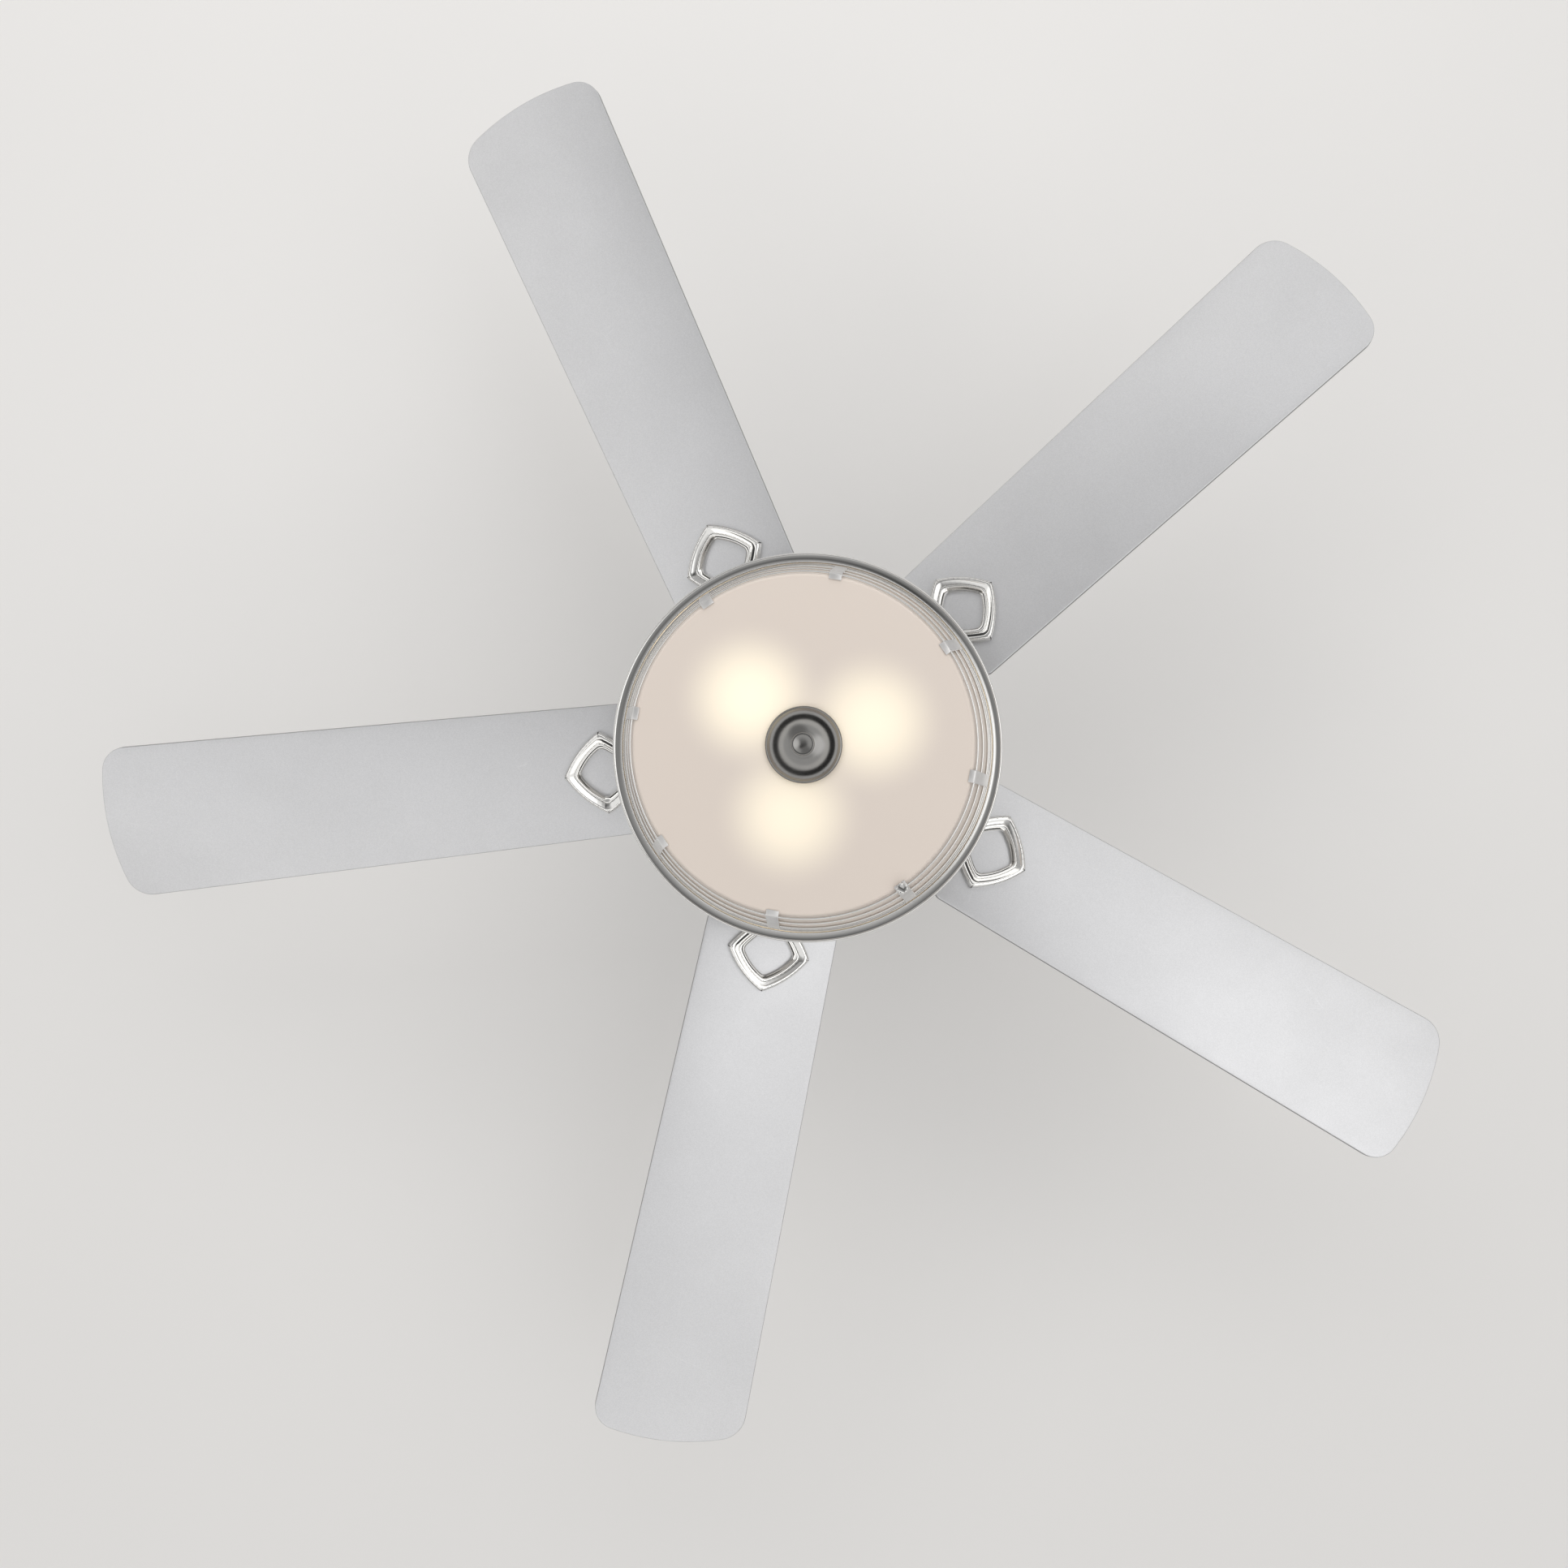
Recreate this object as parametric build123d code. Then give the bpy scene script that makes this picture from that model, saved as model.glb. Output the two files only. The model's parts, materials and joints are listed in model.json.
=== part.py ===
"""Five-blade ceiling fan with a light under it, hung from a ceiling bracket by a short downrod.

Millimetres. The origin is on the ceiling, at the middle of the hanger bracket, and +Z points up,
so the whole fan has negative heights. Each node is written as its own STEP file in parts/.
"""
from build123d import *
import math
import os

# ---------------------------------------------------------------- driving dimensions
# Clearances shared by several fits
RUNNING = 0.03           # radial clearance of a bearing on the motor shaft
THREAD_RUN = 0.05        # radial clearance of the finial on its threaded rod
BALL_RUN = 0.10          # hanger ball in its seat

# Hanger bracket
BRACKET_SHEET = 2.5
BRACKET_HALF_X = 62.0
BRACKET_HALF_Y = 20.0
BOX_HOLE_SPACING = 88.9  # hole spacing of a ceiling outlet box
BOX_SLOT_R = 2.5
BOX_SLOT_LENGTH = 14.0
SADDLE_INSIDE_X = 33.0
SADDLE_HALF_Y = 18.0
SEAT_BOSS_WALL = 4.0
SEAT_TOP_BELOW_BALL = 5.2
SEAT_BOTTOM_BELOW_BALL = 12.2
ROD_ENTRY_CLEAR = 0.85   # beside the rod, each side, in the saddle's open slot
EAR_DROP = 28.0
EAR_HALF_Y = 10.0
CANOPY_SCREW_DEPTH = 18.0
WIRE_HOLE_R = 6.0

# Canopy
CANOPY_R = 68.0
CANOPY_DEPTH = 62.0
CANOPY_STRAIGHT = 22.0
CANOPY_WALL = 1.2
CANOPY_HOLE_R = 25.0
CANOPY_GAP = 0.5
CANOPY_SCREW_R = 2.0

# Hanger ball and downrod
BALL_R = 21.0
BALL_DROP = 32.7         # ceiling to ball centre
BALL_FLAT = 17.0         # ball centre to the flat on its top
BALL_GROOVE_HALF = 6.5
SEAT_TAB_HALF = 2.5
SEAT_TAB_REACH = 2.5
ROD_R = 10.65
ROD_WALL = 2.75
ROD_LENGTH = 134.0
ROD_ABOVE_BALL = 15.5
BALL_PIN_R = 2.5
BALL_PIN_UP = 8.7

# Yoke between downrod and motor
YOKE_WALL = 5.4
YOKE_GRIP = 26.0
YOKE_NECK = 14.0
YOKE_FLANGE_R = 32.0
YOKE_FLANGE_T = 4.0
YOKE_PIN_R = 3.0
YOKE_PIN_UP = 11.0       # above the downrod's lower end
YOKE_SCREW_PITCH_R = 25.0
YOKE_SCREW_COUNT = 3
SET_SCREW_R = 3.0
SET_SCREW_UP = 4.5
COVER_WALL = 1.2
COVER_RISE = 13.0        # above the yoke
COVER_GAP = 0.55

# Motor
SHAFT_R = 7.5
SHAFT_BORE_R = 4.5
BEARING_R = 17.5
BEARING_T = 11.0
ADAPTER_R = 40.0
ADAPTER_T = 6.0
ROTOR_R = 95.0
ROTOR_WALL = 4.0
ROTOR_HEIGHT = 60.0
ROTOR_LIP = 8.0
ROTOR_LIP_T = 2.5
ROTOR_TOP_GAP = 13.0
BEARING_LIP = 3.0
HUB_WALL = 4.0
CORE_T = 15.0
CORE_BELOW_BEARING = 2.5
STATOR_R = 74.5
AIR_GAP = 0.5
STATOR_YOKE_R = 46.0
POLE_COUNT = 12
POLE_HALF = 7.0
POLE_SHOE_T = 4.5
COIL_T = 3.6
SHELL_SCREW_R = 2.0
HOUSING_CLEAR = 23.0
HOUSING_WALL = 1.5
HOUSING_SHORT = 7.0      # housing stops this far above the rotor's lower face
BAND_T = 1.5
BAND_HEIGHT = 26.0

# Blades
BLADE_COUNT = 5
BLADE_TIP_R = 660.0
BLADE_ROOT_R = 165.0
BLADE_ROOT_HALF = 61.8
BLADE_TIP_HALF = 71.4
BLADE_TIP_ARC_R = 220.0
BLADE_TIP_CORNER_R = 23.5
BLADE_ROOT_CORNER_R = 18.0
BLADE_T = 5.5
BLADE_EDGE = 0.9
BLADE_PITCH = 12.0
BLADE_ANGLE = -42.1      # first blade, about +Z from +X
IRON_DROP = 16.0         # rotor's lower face to the blades' middle plane

# Blade irons
FOOT_IN_R = 62.0
FOOT_OUT_R = 100.0
FOOT_HALF = 18.0
FOOT_T = 4.0
FOOT_SCREW_R = 2.5
FOOT_SCREW_OUT = 78.0
FOOT_SCREW_SIDE = 11.0
ARM_HALF = 9.0
ARM_T = 5.0
ARM_BEND_R = 144.0
FRAME_TIP_R = 230.0
FRAME_SIDE_R = 193.0
FRAME_IN_R = 155.0
FRAME_HALF = 39.0
FRAME_BULGE = 3.0
FRAME_CORNER_R = 5.0
FRAME_INNER_CORNER_R = 0.8
FRAME_STEPS = ((0.0, 8.2), (3.6, 7.6), (4.6, 6.2), (7.8, 4.2))   # (inset, height) of each step
FRAME_BAND = 10.8
FRAME_BEAD = 2.0
BLADE_SCREW_INSET = 4.9
BLADE_SCREW_R = 2.2
BLADE_SCREW_BITE = 4.4
BLADE_HOLE_CLEAR = 0.4

# Switch housing
SWITCH_GAP = 8.0
SWITCH_PLATE_T = 2.5
SWITCH_R = 58.0
SWITCH_WALL = 1.2
SWITCH_DEPTH = 54.0
SHAFT_NUT_T = 7.0
SHAFT_NUT_R = 14.0

# Light pan
PAN_R = 172.0
PAN_BAND = 9.0
PAN_DEPTH = 22.5
PAN_WALL = 1.2
PAN_SCREW_R = 2.0
PAN_SCREW_OUT = 50.0

# Glass shade and its cage
GLASS_DEPTH = 90.0
GLASS_INSET = 13.0       # pan's rim to the shade's mouth
GLASS_TAPER = 19.1       # shade's mouth to its floor, on the radius
GLASS_WALL = 3.5
GLASS_CORNER = 2.5
GLASS_RISE = 1.0         # the shade's rim stands this far up inside the pan
CAGE_RING_GAP = 0.7
CAGE_RING_T = 2.7
CAGE_RING_H = 4.0
STRAP_COUNT = 8
STRAP_ANGLE = 10.6
STRAP_HALF = 5.25
STRAP_T = 1.6
STRAP_FOOT_T = 1.5
STRAP_FOOT_BITE = 0.6
CLAMP_STRAP = 1          # which strap carries the thumb screw
HOOP_R = 1.0
HOOP_SINK = 0.4
HOOP_TO_GLASS = 0.3
HOOP_DEPTHS = (11.5, 49.0, 86.0)   # below the pan's flange
THUMB_R = 4.6
THUMB_H = 6.0
THUMB_THREAD_R = 1.9

# Lamps
CENTRE_ROD_R = 4.0
CENTRE_ROD_BELOW_GLASS = 15.5
ROD_NUT_R = 7.5
ROD_NUT_T = 4.5
LAMP_COUNT = 3
LAMP_ANGLE = -18.7
LAMP_TILT = 35.0
LAMP_IN_R = 16.0
LAMP_DEPTH = 21.0        # pan flange to the middle of a socket's back
SOCKET_R = 16.0
SOCKET_WALL = 2.2
SOCKET_LENGTH = 34.0
SOCKET_FLOOR = 3.0
BULB_BASE_CLEAR = 0.8
BULB_R = 22.5
BULB_CENTRE = 58.0       # socket's back to the middle of the bulb's globe
LAMP_SHEET = 1.5
LAMP_TAB_HALF = 9.0
LAMP_DISC_R = 34.0
REFLECTOR_INSET = 22.0   # pan's rim to the reflector's
REFLECTOR_T = 0.8
REFLECTOR_RISE = 9.0

# Finial
FINIAL_R = 31.5
FINIAL_CAP_H = 15.0
NUB_R = 8.7
NUB_H = 8.5
WASHER_R = 14.0
WASHER_T = 2.0
GLASS_HOLE_CLEAR = 1.8

# ---------------------------------------------------------------- heights worked out from them
BALL_Z = -BALL_DROP
SEAT_TOP = BALL_Z - SEAT_TOP_BELOW_BALL
SEAT_BOTTOM = BALL_Z - SEAT_BOTTOM_BELOW_BALL
ROD_TOP = BALL_Z + ROD_ABOVE_BALL
ROD_BOTTOM = ROD_TOP - ROD_LENGTH
YOKE_R = ROD_R + YOKE_WALL
YOKE_TOP = ROD_BOTTOM + YOKE_GRIP
YOKE_FLANGE_TOP = ROD_BOTTOM - YOKE_NECK
YOKE_BOTTOM = YOKE_FLANGE_TOP - YOKE_FLANGE_T
ADAPTER_TOP = YOKE_BOTTOM - HOUSING_WALL
ADAPTER_BOTTOM = ADAPTER_TOP - ADAPTER_T
ROTOR_TOP = ADAPTER_BOTTOM - ROTOR_TOP_GAP
ROTOR_BOTTOM = ROTOR_TOP - ROTOR_HEIGHT
ROTOR_SPLIT = ROTOR_TOP - ROTOR_HEIGHT * 0.6
ROTOR_INSIDE_R = ROTOR_R - ROTOR_WALL
ROTOR_RIM_R = ROTOR_R + ROTOR_LIP
UPPER_BEARING_TOP = ROTOR_TOP - BEARING_LIP
LOWER_BEARING_BOTTOM = ROTOR_BOTTOM + BEARING_LIP
CORE_TOP = UPPER_BEARING_TOP - BEARING_T - CORE_BELOW_BEARING
CORE_BOTTOM = CORE_TOP - CORE_T
HOUSING_R = ROTOR_RIM_R + HOUSING_CLEAR
HOUSING_BOTTOM = ROTOR_BOTTOM + HOUSING_SHORT
BLADE_Z = ROTOR_BOTTOM - IRON_DROP
FOOT_BOTTOM = ROTOR_BOTTOM - FOOT_T
SWITCH_TOP = FOOT_BOTTOM - SWITCH_GAP
SWITCH_PLATE_BOTTOM = SWITCH_TOP - SWITCH_PLATE_T
SWITCH_BOTTOM = SWITCH_PLATE_BOTTOM - SWITCH_DEPTH
SHAFT_TOP = ROD_BOTTOM - 2.0
SHAFT_BOTTOM = SWITCH_PLATE_BOTTOM - SHAFT_NUT_T - 2.0
PAN_TOP = SWITCH_BOTTOM
FLANGE_Z = PAN_TOP - PAN_DEPTH
BAND_IN_R = PAN_R - PAN_BAND
GLASS_TOP_R = PAN_R - GLASS_INSET
GLASS_BOTTOM_R = GLASS_TOP_R - GLASS_TAPER
REFLECTOR_R = PAN_R - REFLECTOR_INSET
GLASS_TOP = FLANGE_Z + GLASS_RISE
GLASS_BOTTOM = FLANGE_Z - GLASS_DEPTH
GLASS_SLOPE = (GLASS_TOP_R - GLASS_BOTTOM_R) / (GLASS_TOP - GLASS_BOTTOM)
CAGE_RING_R = BAND_IN_R - CAGE_RING_GAP
CAGE_RING_TOP = FLANGE_Z + 2.0
CAGE_RING_BOTTOM = CAGE_RING_TOP - CAGE_RING_H
FOOT_UNDER_GLASS = GLASS_BOTTOM - STRAP_FOOT_T
CAGE_STACK = HOOP_TO_GLASS + 2 * HOOP_R + STRAP_T - HOOP_SINK
STRAP_BOTTOM_R = GLASS_BOTTOM_R + CAGE_STACK * math.hypot(1, GLASS_SLOPE)
CENTRE_ROD_TOP = PAN_TOP + ROD_NUT_T + 3.0
CENTRE_ROD_BOTTOM = GLASS_BOTTOM - CENTRE_ROD_BELOW_GLASS
LAMP_Z = FLANGE_Z - LAMP_DEPTH
LAMP_DISC_TOP = LAMP_Z + 16.0
LAMP_DISC_BOTTOM = LAMP_DISC_TOP - LAMP_SHEET
WASHER_BOTTOM = GLASS_BOTTOM - WASHER_T
CAP_BOTTOM = WASHER_BOTTOM - FINIAL_CAP_H
NUB_BOTTOM = CAP_BOTTOM - NUB_H


# ---------------------------------------------------------------- helpers
def turned(*points):
    """Solid of revolution about Z from its (radius, height) corners."""
    outline = Polyline(*[(radius, 0, height) for radius, height in points], close=True)
    return revolve(make_face(outline), Axis.Z)


def tube(outer_r, inner_r, top, bottom):
    """Straight tube about Z between two heights."""
    return turned((inner_r, top), (outer_r, top), (outer_r, bottom), (inner_r, bottom))


def rod(radius, top, bottom, x=0.0, y=0.0):
    """Vertical round bar between two heights."""
    return Pos(x, y, (top + bottom) / 2) * Cylinder(radius, top - bottom)


def block(x0, x1, y0, y1, z0, z1):
    """Box between the given planes."""
    centre = Pos((x0 + x1) / 2, (y0 + y1) / 2, (z0 + z1) / 2)
    return centre * Box(x1 - x0, y1 - y0, z1 - z0)


def hex_nut(radius, bore_r, top, bottom):
    """Hexagon nut about Z."""
    prism = extrude(Pos(0, 0, bottom) * RegularPolygon(radius, 6), top - bottom)
    return prism - rod(bore_r, top + 1, bottom - 1)


def spread(shape, count, first_angle=0.0):
    """Equal copies of a shape turned about Z."""
    return [Rot(0, 0, first_angle + 360.0 * i / count) * shape for i in range(count)]


def pan_screw(head_r, head_h, shank_r, shank_length):
    """Screw about Z with its head above z = 0 and its shank below."""
    head = Pos(0, 0, head_h / 2) * Cylinder(head_r, head_h)
    head = fillet(head.edges().group_by(Axis.Z)[-1], head_h * 0.45)
    recess = Pos(0, 0, head_h) * Box(head_r * 1.1, head_r * 0.28, head_h * 0.7)
    cross = Rot(0, 0, 90) * recess
    return head - recess - cross + Pos(0, 0, -shank_length / 2) * Cylinder(shank_r, shank_length)


# ---------------------------------------------------------------- ceiling end
def ceiling_bracket():
    """Sheet-steel hanger: slotted plate, saddle with the ball's seat, and ears for the canopy."""
    plate = block(-BRACKET_HALF_X, BRACKET_HALF_X, -BRACKET_HALF_Y, BRACKET_HALF_Y, -BRACKET_SHEET, 0)
    plate = fillet(plate.edges().filter_by(Axis.Z), 6.0)
    for side in (-1, 1):
        slot = Pos(side * BOX_HOLE_SPACING / 2, 0, -BRACKET_SHEET / 2)
        plate -= slot * extrude(SlotOverall(BOX_SLOT_LENGTH, 2 * BOX_SLOT_R), BRACKET_SHEET, both=True)
        plate -= rod(WIRE_HOLE_R, 1, -BRACKET_SHEET - 1, 0, side * (BRACKET_HALF_Y - WIRE_HOLE_R - 1.5))
    out = SADDLE_INSIDE_X + BRACKET_SHEET
    shelf = block(-out, out, -SADDLE_HALF_Y, SADDLE_HALF_Y, SEAT_BOTTOM, SEAT_BOTTOM + BRACKET_SHEET)
    seat_r = BALL_R + SEAT_BOSS_WALL
    saddle = shelf + rod(seat_r, SEAT_TOP, SEAT_BOTTOM)
    saddle -= Pos(0, 0, BALL_Z) * Sphere(BALL_R + BALL_RUN)
    for side in (-1, 1):
        leg = block(SADDLE_INSIDE_X, out, -SADDLE_HALF_Y, SADDLE_HALF_Y, SEAT_BOTTOM, -BRACKET_SHEET)
        ear = block(BRACKET_HALF_X - BRACKET_SHEET, BRACKET_HALF_X, -EAR_HALF_Y, EAR_HALF_Y, -EAR_DROP, 0)
        ear -= Pos(BRACKET_HALF_X, 0, -CANOPY_SCREW_DEPTH) * Rot(0, 90, 0) * Cylinder(
            CANOPY_SCREW_R, 4 * BRACKET_SHEET)
        turn = Rot(0, 0, 0 if side > 0 else 180)
        saddle += turn * (leg + ear)
    entry = ROD_R + ROD_ENTRY_CLEAR
    saddle -= block(-entry, entry, 0, seat_r + 1, SEAT_BOTTOM - 1, SEAT_TOP + 1)
    tab = block(BALL_R - SEAT_TAB_REACH, seat_r - 1, -SEAT_TAB_HALF, SEAT_TAB_HALF, SEAT_BOTTOM, SEAT_TOP)
    return plate + saddle + tab


def canopy_wall(inset, top):
    """Face of revolution half-section of the canopy, drawn inset from its outside."""
    r = CANOPY_R - inset
    bottom = -CANOPY_DEPTH + inset
    side_end = (r, 0, -CANOPY_STRAIGHT)
    mid_r = (r + CANOPY_HOLE_R) / 2 + r * 0.16
    mid = (mid_r, 0, (-CANOPY_STRAIGHT + bottom) / 2 - CANOPY_DEPTH * 0.12)
    curve = Spline(side_end, mid, (CANOPY_HOLE_R, 0, bottom), tangents=((0, 0, -1), (-1, 0, 0)))
    start = Line((r, 0, top), side_end)
    back = Polyline((CANOPY_HOLE_R, 0, bottom), (0, 0, bottom), (0, 0, top), (r, 0, top))
    return revolve(make_face([start, curve, back]), Axis.Z)


def canopy():
    """Spun dome that hides the bracket, open at the ceiling and round the downrod."""
    shell = canopy_wall(0, -CANOPY_GAP) - canopy_wall(CANOPY_WALL, 1)
    shell -= rod(CANOPY_HOLE_R, 0, -CANOPY_DEPTH - 1)
    hole = Pos(0, 0, -CANOPY_SCREW_DEPTH) * Rot(0, 90, 0) * Cylinder(CANOPY_SCREW_R, 3 * CANOPY_R)
    return shell - hole


def canopy_screws():
    """Two knurled-head screws through the canopy into the bracket's ears."""
    length = CANOPY_R - BRACKET_HALF_X + BRACKET_SHEET
    screw = Rot(0, 90, 0) * pan_screw(5.0, 3.0, CANOPY_SCREW_R, length)
    return spread(Pos(CANOPY_R, 0, -CANOPY_SCREW_DEPTH) * screw, 2)


def hanger_ball():
    """Ball that hangs in the bracket's seat, bored for the downrod and grooved for the seat's tab."""
    ball = Pos(0, 0, BALL_Z) * Sphere(BALL_R)
    ball -= block(-BALL_R, BALL_R, -BALL_R, BALL_R, BALL_Z + BALL_FLAT, BALL_Z + BALL_R + 1)
    ball -= rod(ROD_R, BALL_Z + BALL_R + 1, BALL_Z - BALL_R - 1)
    groove_in = BALL_R - SEAT_TAB_REACH - 0.8
    ball -= block(groove_in, BALL_R + 1, -BALL_GROOVE_HALF, BALL_GROOVE_HALF,
                  BALL_Z - BALL_R, BALL_Z + BALL_PIN_UP - BALL_PIN_R - 1)
    return ball - ball_pin_bar()


def ball_pin_bar():
    """Cross pin's bar, used both as the pin and to bore its holes."""
    pin_z = BALL_Z + BALL_PIN_UP
    half = math.sqrt(BALL_R ** 2 - BALL_PIN_UP ** 2) - 1.6
    return Pos(0, 0, pin_z) * Rot(0, 90, 0) * Cylinder(BALL_PIN_R, 2 * half)


def downrod():
    """Steel pipe from the ball to the yoke, holed for the two cross pins."""
    pipe = tube(ROD_R, ROD_R - ROD_WALL, ROD_TOP, ROD_BOTTOM)
    return pipe - ball_pin_bar() - yoke_pin_bar()


# ---------------------------------------------------------------- yoke
def yoke_pin_bar():
    """Bar of the pin that ties the yoke to the downrod."""
    return Pos(0, 0, ROD_BOTTOM + YOKE_PIN_UP) * Rot(0, 90, 0) * Cylinder(YOKE_PIN_R, 2 * YOKE_R + 5)


def set_screw_bar(side):
    """Bar of one of the yoke's two set screws."""
    mid = ROD_R + YOKE_WALL / 2
    return Pos(0, side * mid, ROD_BOTTOM + SET_SCREW_UP) * Rot(90, 0, 0) * Cylinder(SET_SCREW_R, YOKE_WALL)


def yoke():
    """Cast collar: clamps the downrod above and carries the motor's top plate and shaft below."""
    collar = tube(YOKE_R, ROD_R, YOKE_TOP, ROD_BOTTOM)
    neck = tube(YOKE_R, SHAFT_R, ROD_BOTTOM, YOKE_BOTTOM)
    flange = tube(YOKE_FLANGE_R, SHAFT_R, YOKE_FLANGE_TOP, YOKE_BOTTOM)
    body = collar + neck + flange - yoke_pin_bar()
    for side in (-1, 1):
        body -= set_screw_bar(side)
    for hole in yoke_screw_bars():
        body -= hole
    return body


def yoke_screw_bars():
    """Bars of the screws from the yoke's flange down into the motor adapter."""
    bar = rod(2.2, YOKE_FLANGE_TOP, ADAPTER_BOTTOM + 1.5, YOKE_SCREW_PITCH_R)
    return spread(bar, YOKE_SCREW_COUNT, 30)


def yoke_pin():
    """Headed pin through yoke and downrod."""
    head = Pos(-YOKE_R - 3.5, 0, ROD_BOTTOM + YOKE_PIN_UP) * Rot(0, 90, 0) * Cylinder(4.5, 2)
    return yoke_pin_bar() + head


def yoke_set_screws():
    """Two square-headed screws that lock the yoke on the downrod."""
    screws = []
    for side in (-1, 1):
        head_y = side * (YOKE_R + 2)
        head = Pos(0, head_y, ROD_BOTTOM + SET_SCREW_UP) * Box(7, 4, 7)
        screws.append(set_screw_bar(side) + head)
    return screws


def yoke_screws():
    """Screws through the yoke's flange."""
    screws = []
    for bar in yoke_screw_bars():
        centre = bar.center()
        screws.append(bar + rod(4.2, YOKE_FLANGE_TOP + 2.6, YOKE_FLANGE_TOP, centre.X, centre.Y))
    return screws


def coupling_cover():
    """Flared cover over the yoke, standing on the motor housing."""
    top = YOKE_TOP + COVER_RISE
    hole = ROD_R + COVER_GAP
    wide = YOKE_FLANGE_R + 5
    shoulder = YOKE_R + 8.5
    base = YOKE_BOTTOM
    outer = [(hole, top), (hole + 6, top), (shoulder + COVER_WALL, top - 8), (shoulder + 4, top - 22),
             (wide + COVER_WALL, base + 8), (wide + COVER_WALL, base)]
    inner = [(wide, base), (wide, base + 8), (shoulder + 4 - COVER_WALL, top - 22), (shoulder, top - 9),
             (hole + 5, top - COVER_WALL), (hole, top - COVER_WALL)]
    return turned(*outer, *inner)


# ---------------------------------------------------------------- motor
def motor_adapter():
    """Cast disc inside the housing's top that the yoke's screws bite into."""
    disc = tube(ADAPTER_R, SHAFT_R, ADAPTER_TOP, ADAPTER_BOTTOM)
    for bar in yoke_screw_bars():
        disc -= bar
    return disc


def motor_housing():
    """Spun housing over the motor, open below."""
    r = HOUSING_R
    w = HOUSING_WALL
    top = YOKE_BOTTOM
    shoulder = ROTOR_TOP + 2
    shell = turned((SHAFT_R, top), (ADAPTER_R + 6, top), (r - 28, top - 9), (r - 6, shoulder),
                   (r, shoulder - 10), (r, HOUSING_BOTTOM), (r - w, HOUSING_BOTTOM),
                   (r - w, shoulder - 10), (r - 6 - w, shoulder - w), (r - 28 - w, top - 9 - w),
                   (ADAPTER_R + 6 - w / 2, top - w), (SHAFT_R, top - w))
    for bar in yoke_screw_bars():
        shell -= bar
    return shell


def housing_band():
    """Bright band round the middle of the housing."""
    mid = (ROTOR_TOP - 8 + HOUSING_BOTTOM) / 2
    half = BAND_HEIGHT / 2
    band = tube(HOUSING_R + BAND_T, HOUSING_R, mid + half, mid - half)
    return chamfer(band.edges().filter_by(GeomType.CIRCLE).sort_by(SortBy.RADIUS)[-2:], BAND_T * 0.6)


def motor_shaft():
    """Fixed hollow shaft: the rotor turns on it and the light kit hangs from it."""
    return tube(SHAFT_R, SHAFT_BORE_R, SHAFT_TOP, SHAFT_BOTTOM) - ring_cut()


def ring_cut():
    """Groove in the shaft for the retaining ring."""
    top = LOWER_BEARING_BOTTOM - 0.3
    return tube(SHAFT_R + 1, SHAFT_R - 0.6, top, top - 1.2)


def retaining_ring():
    """Spring ring in the shaft's groove, under the lower bearing."""
    top = LOWER_BEARING_BOTTOM - 0.3
    ring = tube(SHAFT_R + 3.5, SHAFT_R - 0.6, top, top - 1.2)
    return ring - block(0, SHAFT_R + 5, -1.5, 1.5, top - 2, top + 1)


def stator_core():
    """Laminated core fixed on the shaft, with a wound pole every thirty degrees."""
    slots = tube(STATOR_R - POLE_SHOE_T, STATOR_YOKE_R, CORE_TOP + 1, CORE_BOTTOM - 1)
    pole = block(STATOR_YOKE_R - 4, STATOR_R, -POLE_HALF, POLE_HALF, CORE_BOTTOM - 2, CORE_TOP + 2)
    for one in spread(pole, POLE_COUNT):
        slots -= one
    mouth = block(STATOR_R - POLE_SHOE_T - 1, STATOR_R + 1, -1.5, 1.5, CORE_BOTTOM - 1, CORE_TOP + 1)
    core = tube(STATOR_R, SHAFT_R, CORE_TOP, CORE_BOTTOM) - slots
    for one in spread(mouth, POLE_COUNT, 180.0 / POLE_COUNT):
        core -= one
    return core


def windings():
    """One copper coil round each pole."""
    inner = STATOR_YOKE_R + 1.5
    outer = STATOR_R - POLE_SHOE_T - 1.5
    side = POLE_HALF + COIL_T
    coil = block(inner, outer, -side, side, CORE_BOTTOM - COIL_T, CORE_TOP + COIL_T)
    coil = fillet(coil.edges().filter_by(Axis.X), COIL_T * 0.8)
    coil -= block(inner - 1, outer + 1, -POLE_HALF, POLE_HALF, CORE_BOTTOM, CORE_TOP)
    return spread(coil, POLE_COUNT)


def bearing(top):
    """Sealed ball bearing, its bore a running fit on the shaft."""
    bottom = top - BEARING_T
    body = tube(BEARING_R, SHAFT_R + RUNNING, top, bottom)
    seal = tube(BEARING_R - 2.5, SHAFT_R + 2.5, top + 1, top - 0.6)
    return body - seal - Pos(0, 0, bottom - top + 0.6 - 1) * seal


def rotor_top_shell():
    """Upper half of the turning case, seated on the upper bearing."""
    lip = BEARING_R - 3
    hub = BEARING_R + HUB_WALL
    seat = UPPER_BEARING_TOP
    hub_end = seat - BEARING_T
    shell = turned((lip, ROTOR_TOP), (ROTOR_R, ROTOR_TOP), (ROTOR_R, ROTOR_SPLIT + ROTOR_LIP_T),
                   (ROTOR_RIM_R, ROTOR_SPLIT + ROTOR_LIP_T), (ROTOR_RIM_R, ROTOR_SPLIT),
                   (ROTOR_INSIDE_R, ROTOR_SPLIT), (ROTOR_INSIDE_R, ROTOR_TOP - ROTOR_WALL),
                   (hub, ROTOR_TOP - ROTOR_WALL), (hub, hub_end), (BEARING_R, hub_end),
                   (BEARING_R, seat), (lip, seat))
    for bar in shell_screw_bars():
        shell -= bar
    return shell


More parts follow.
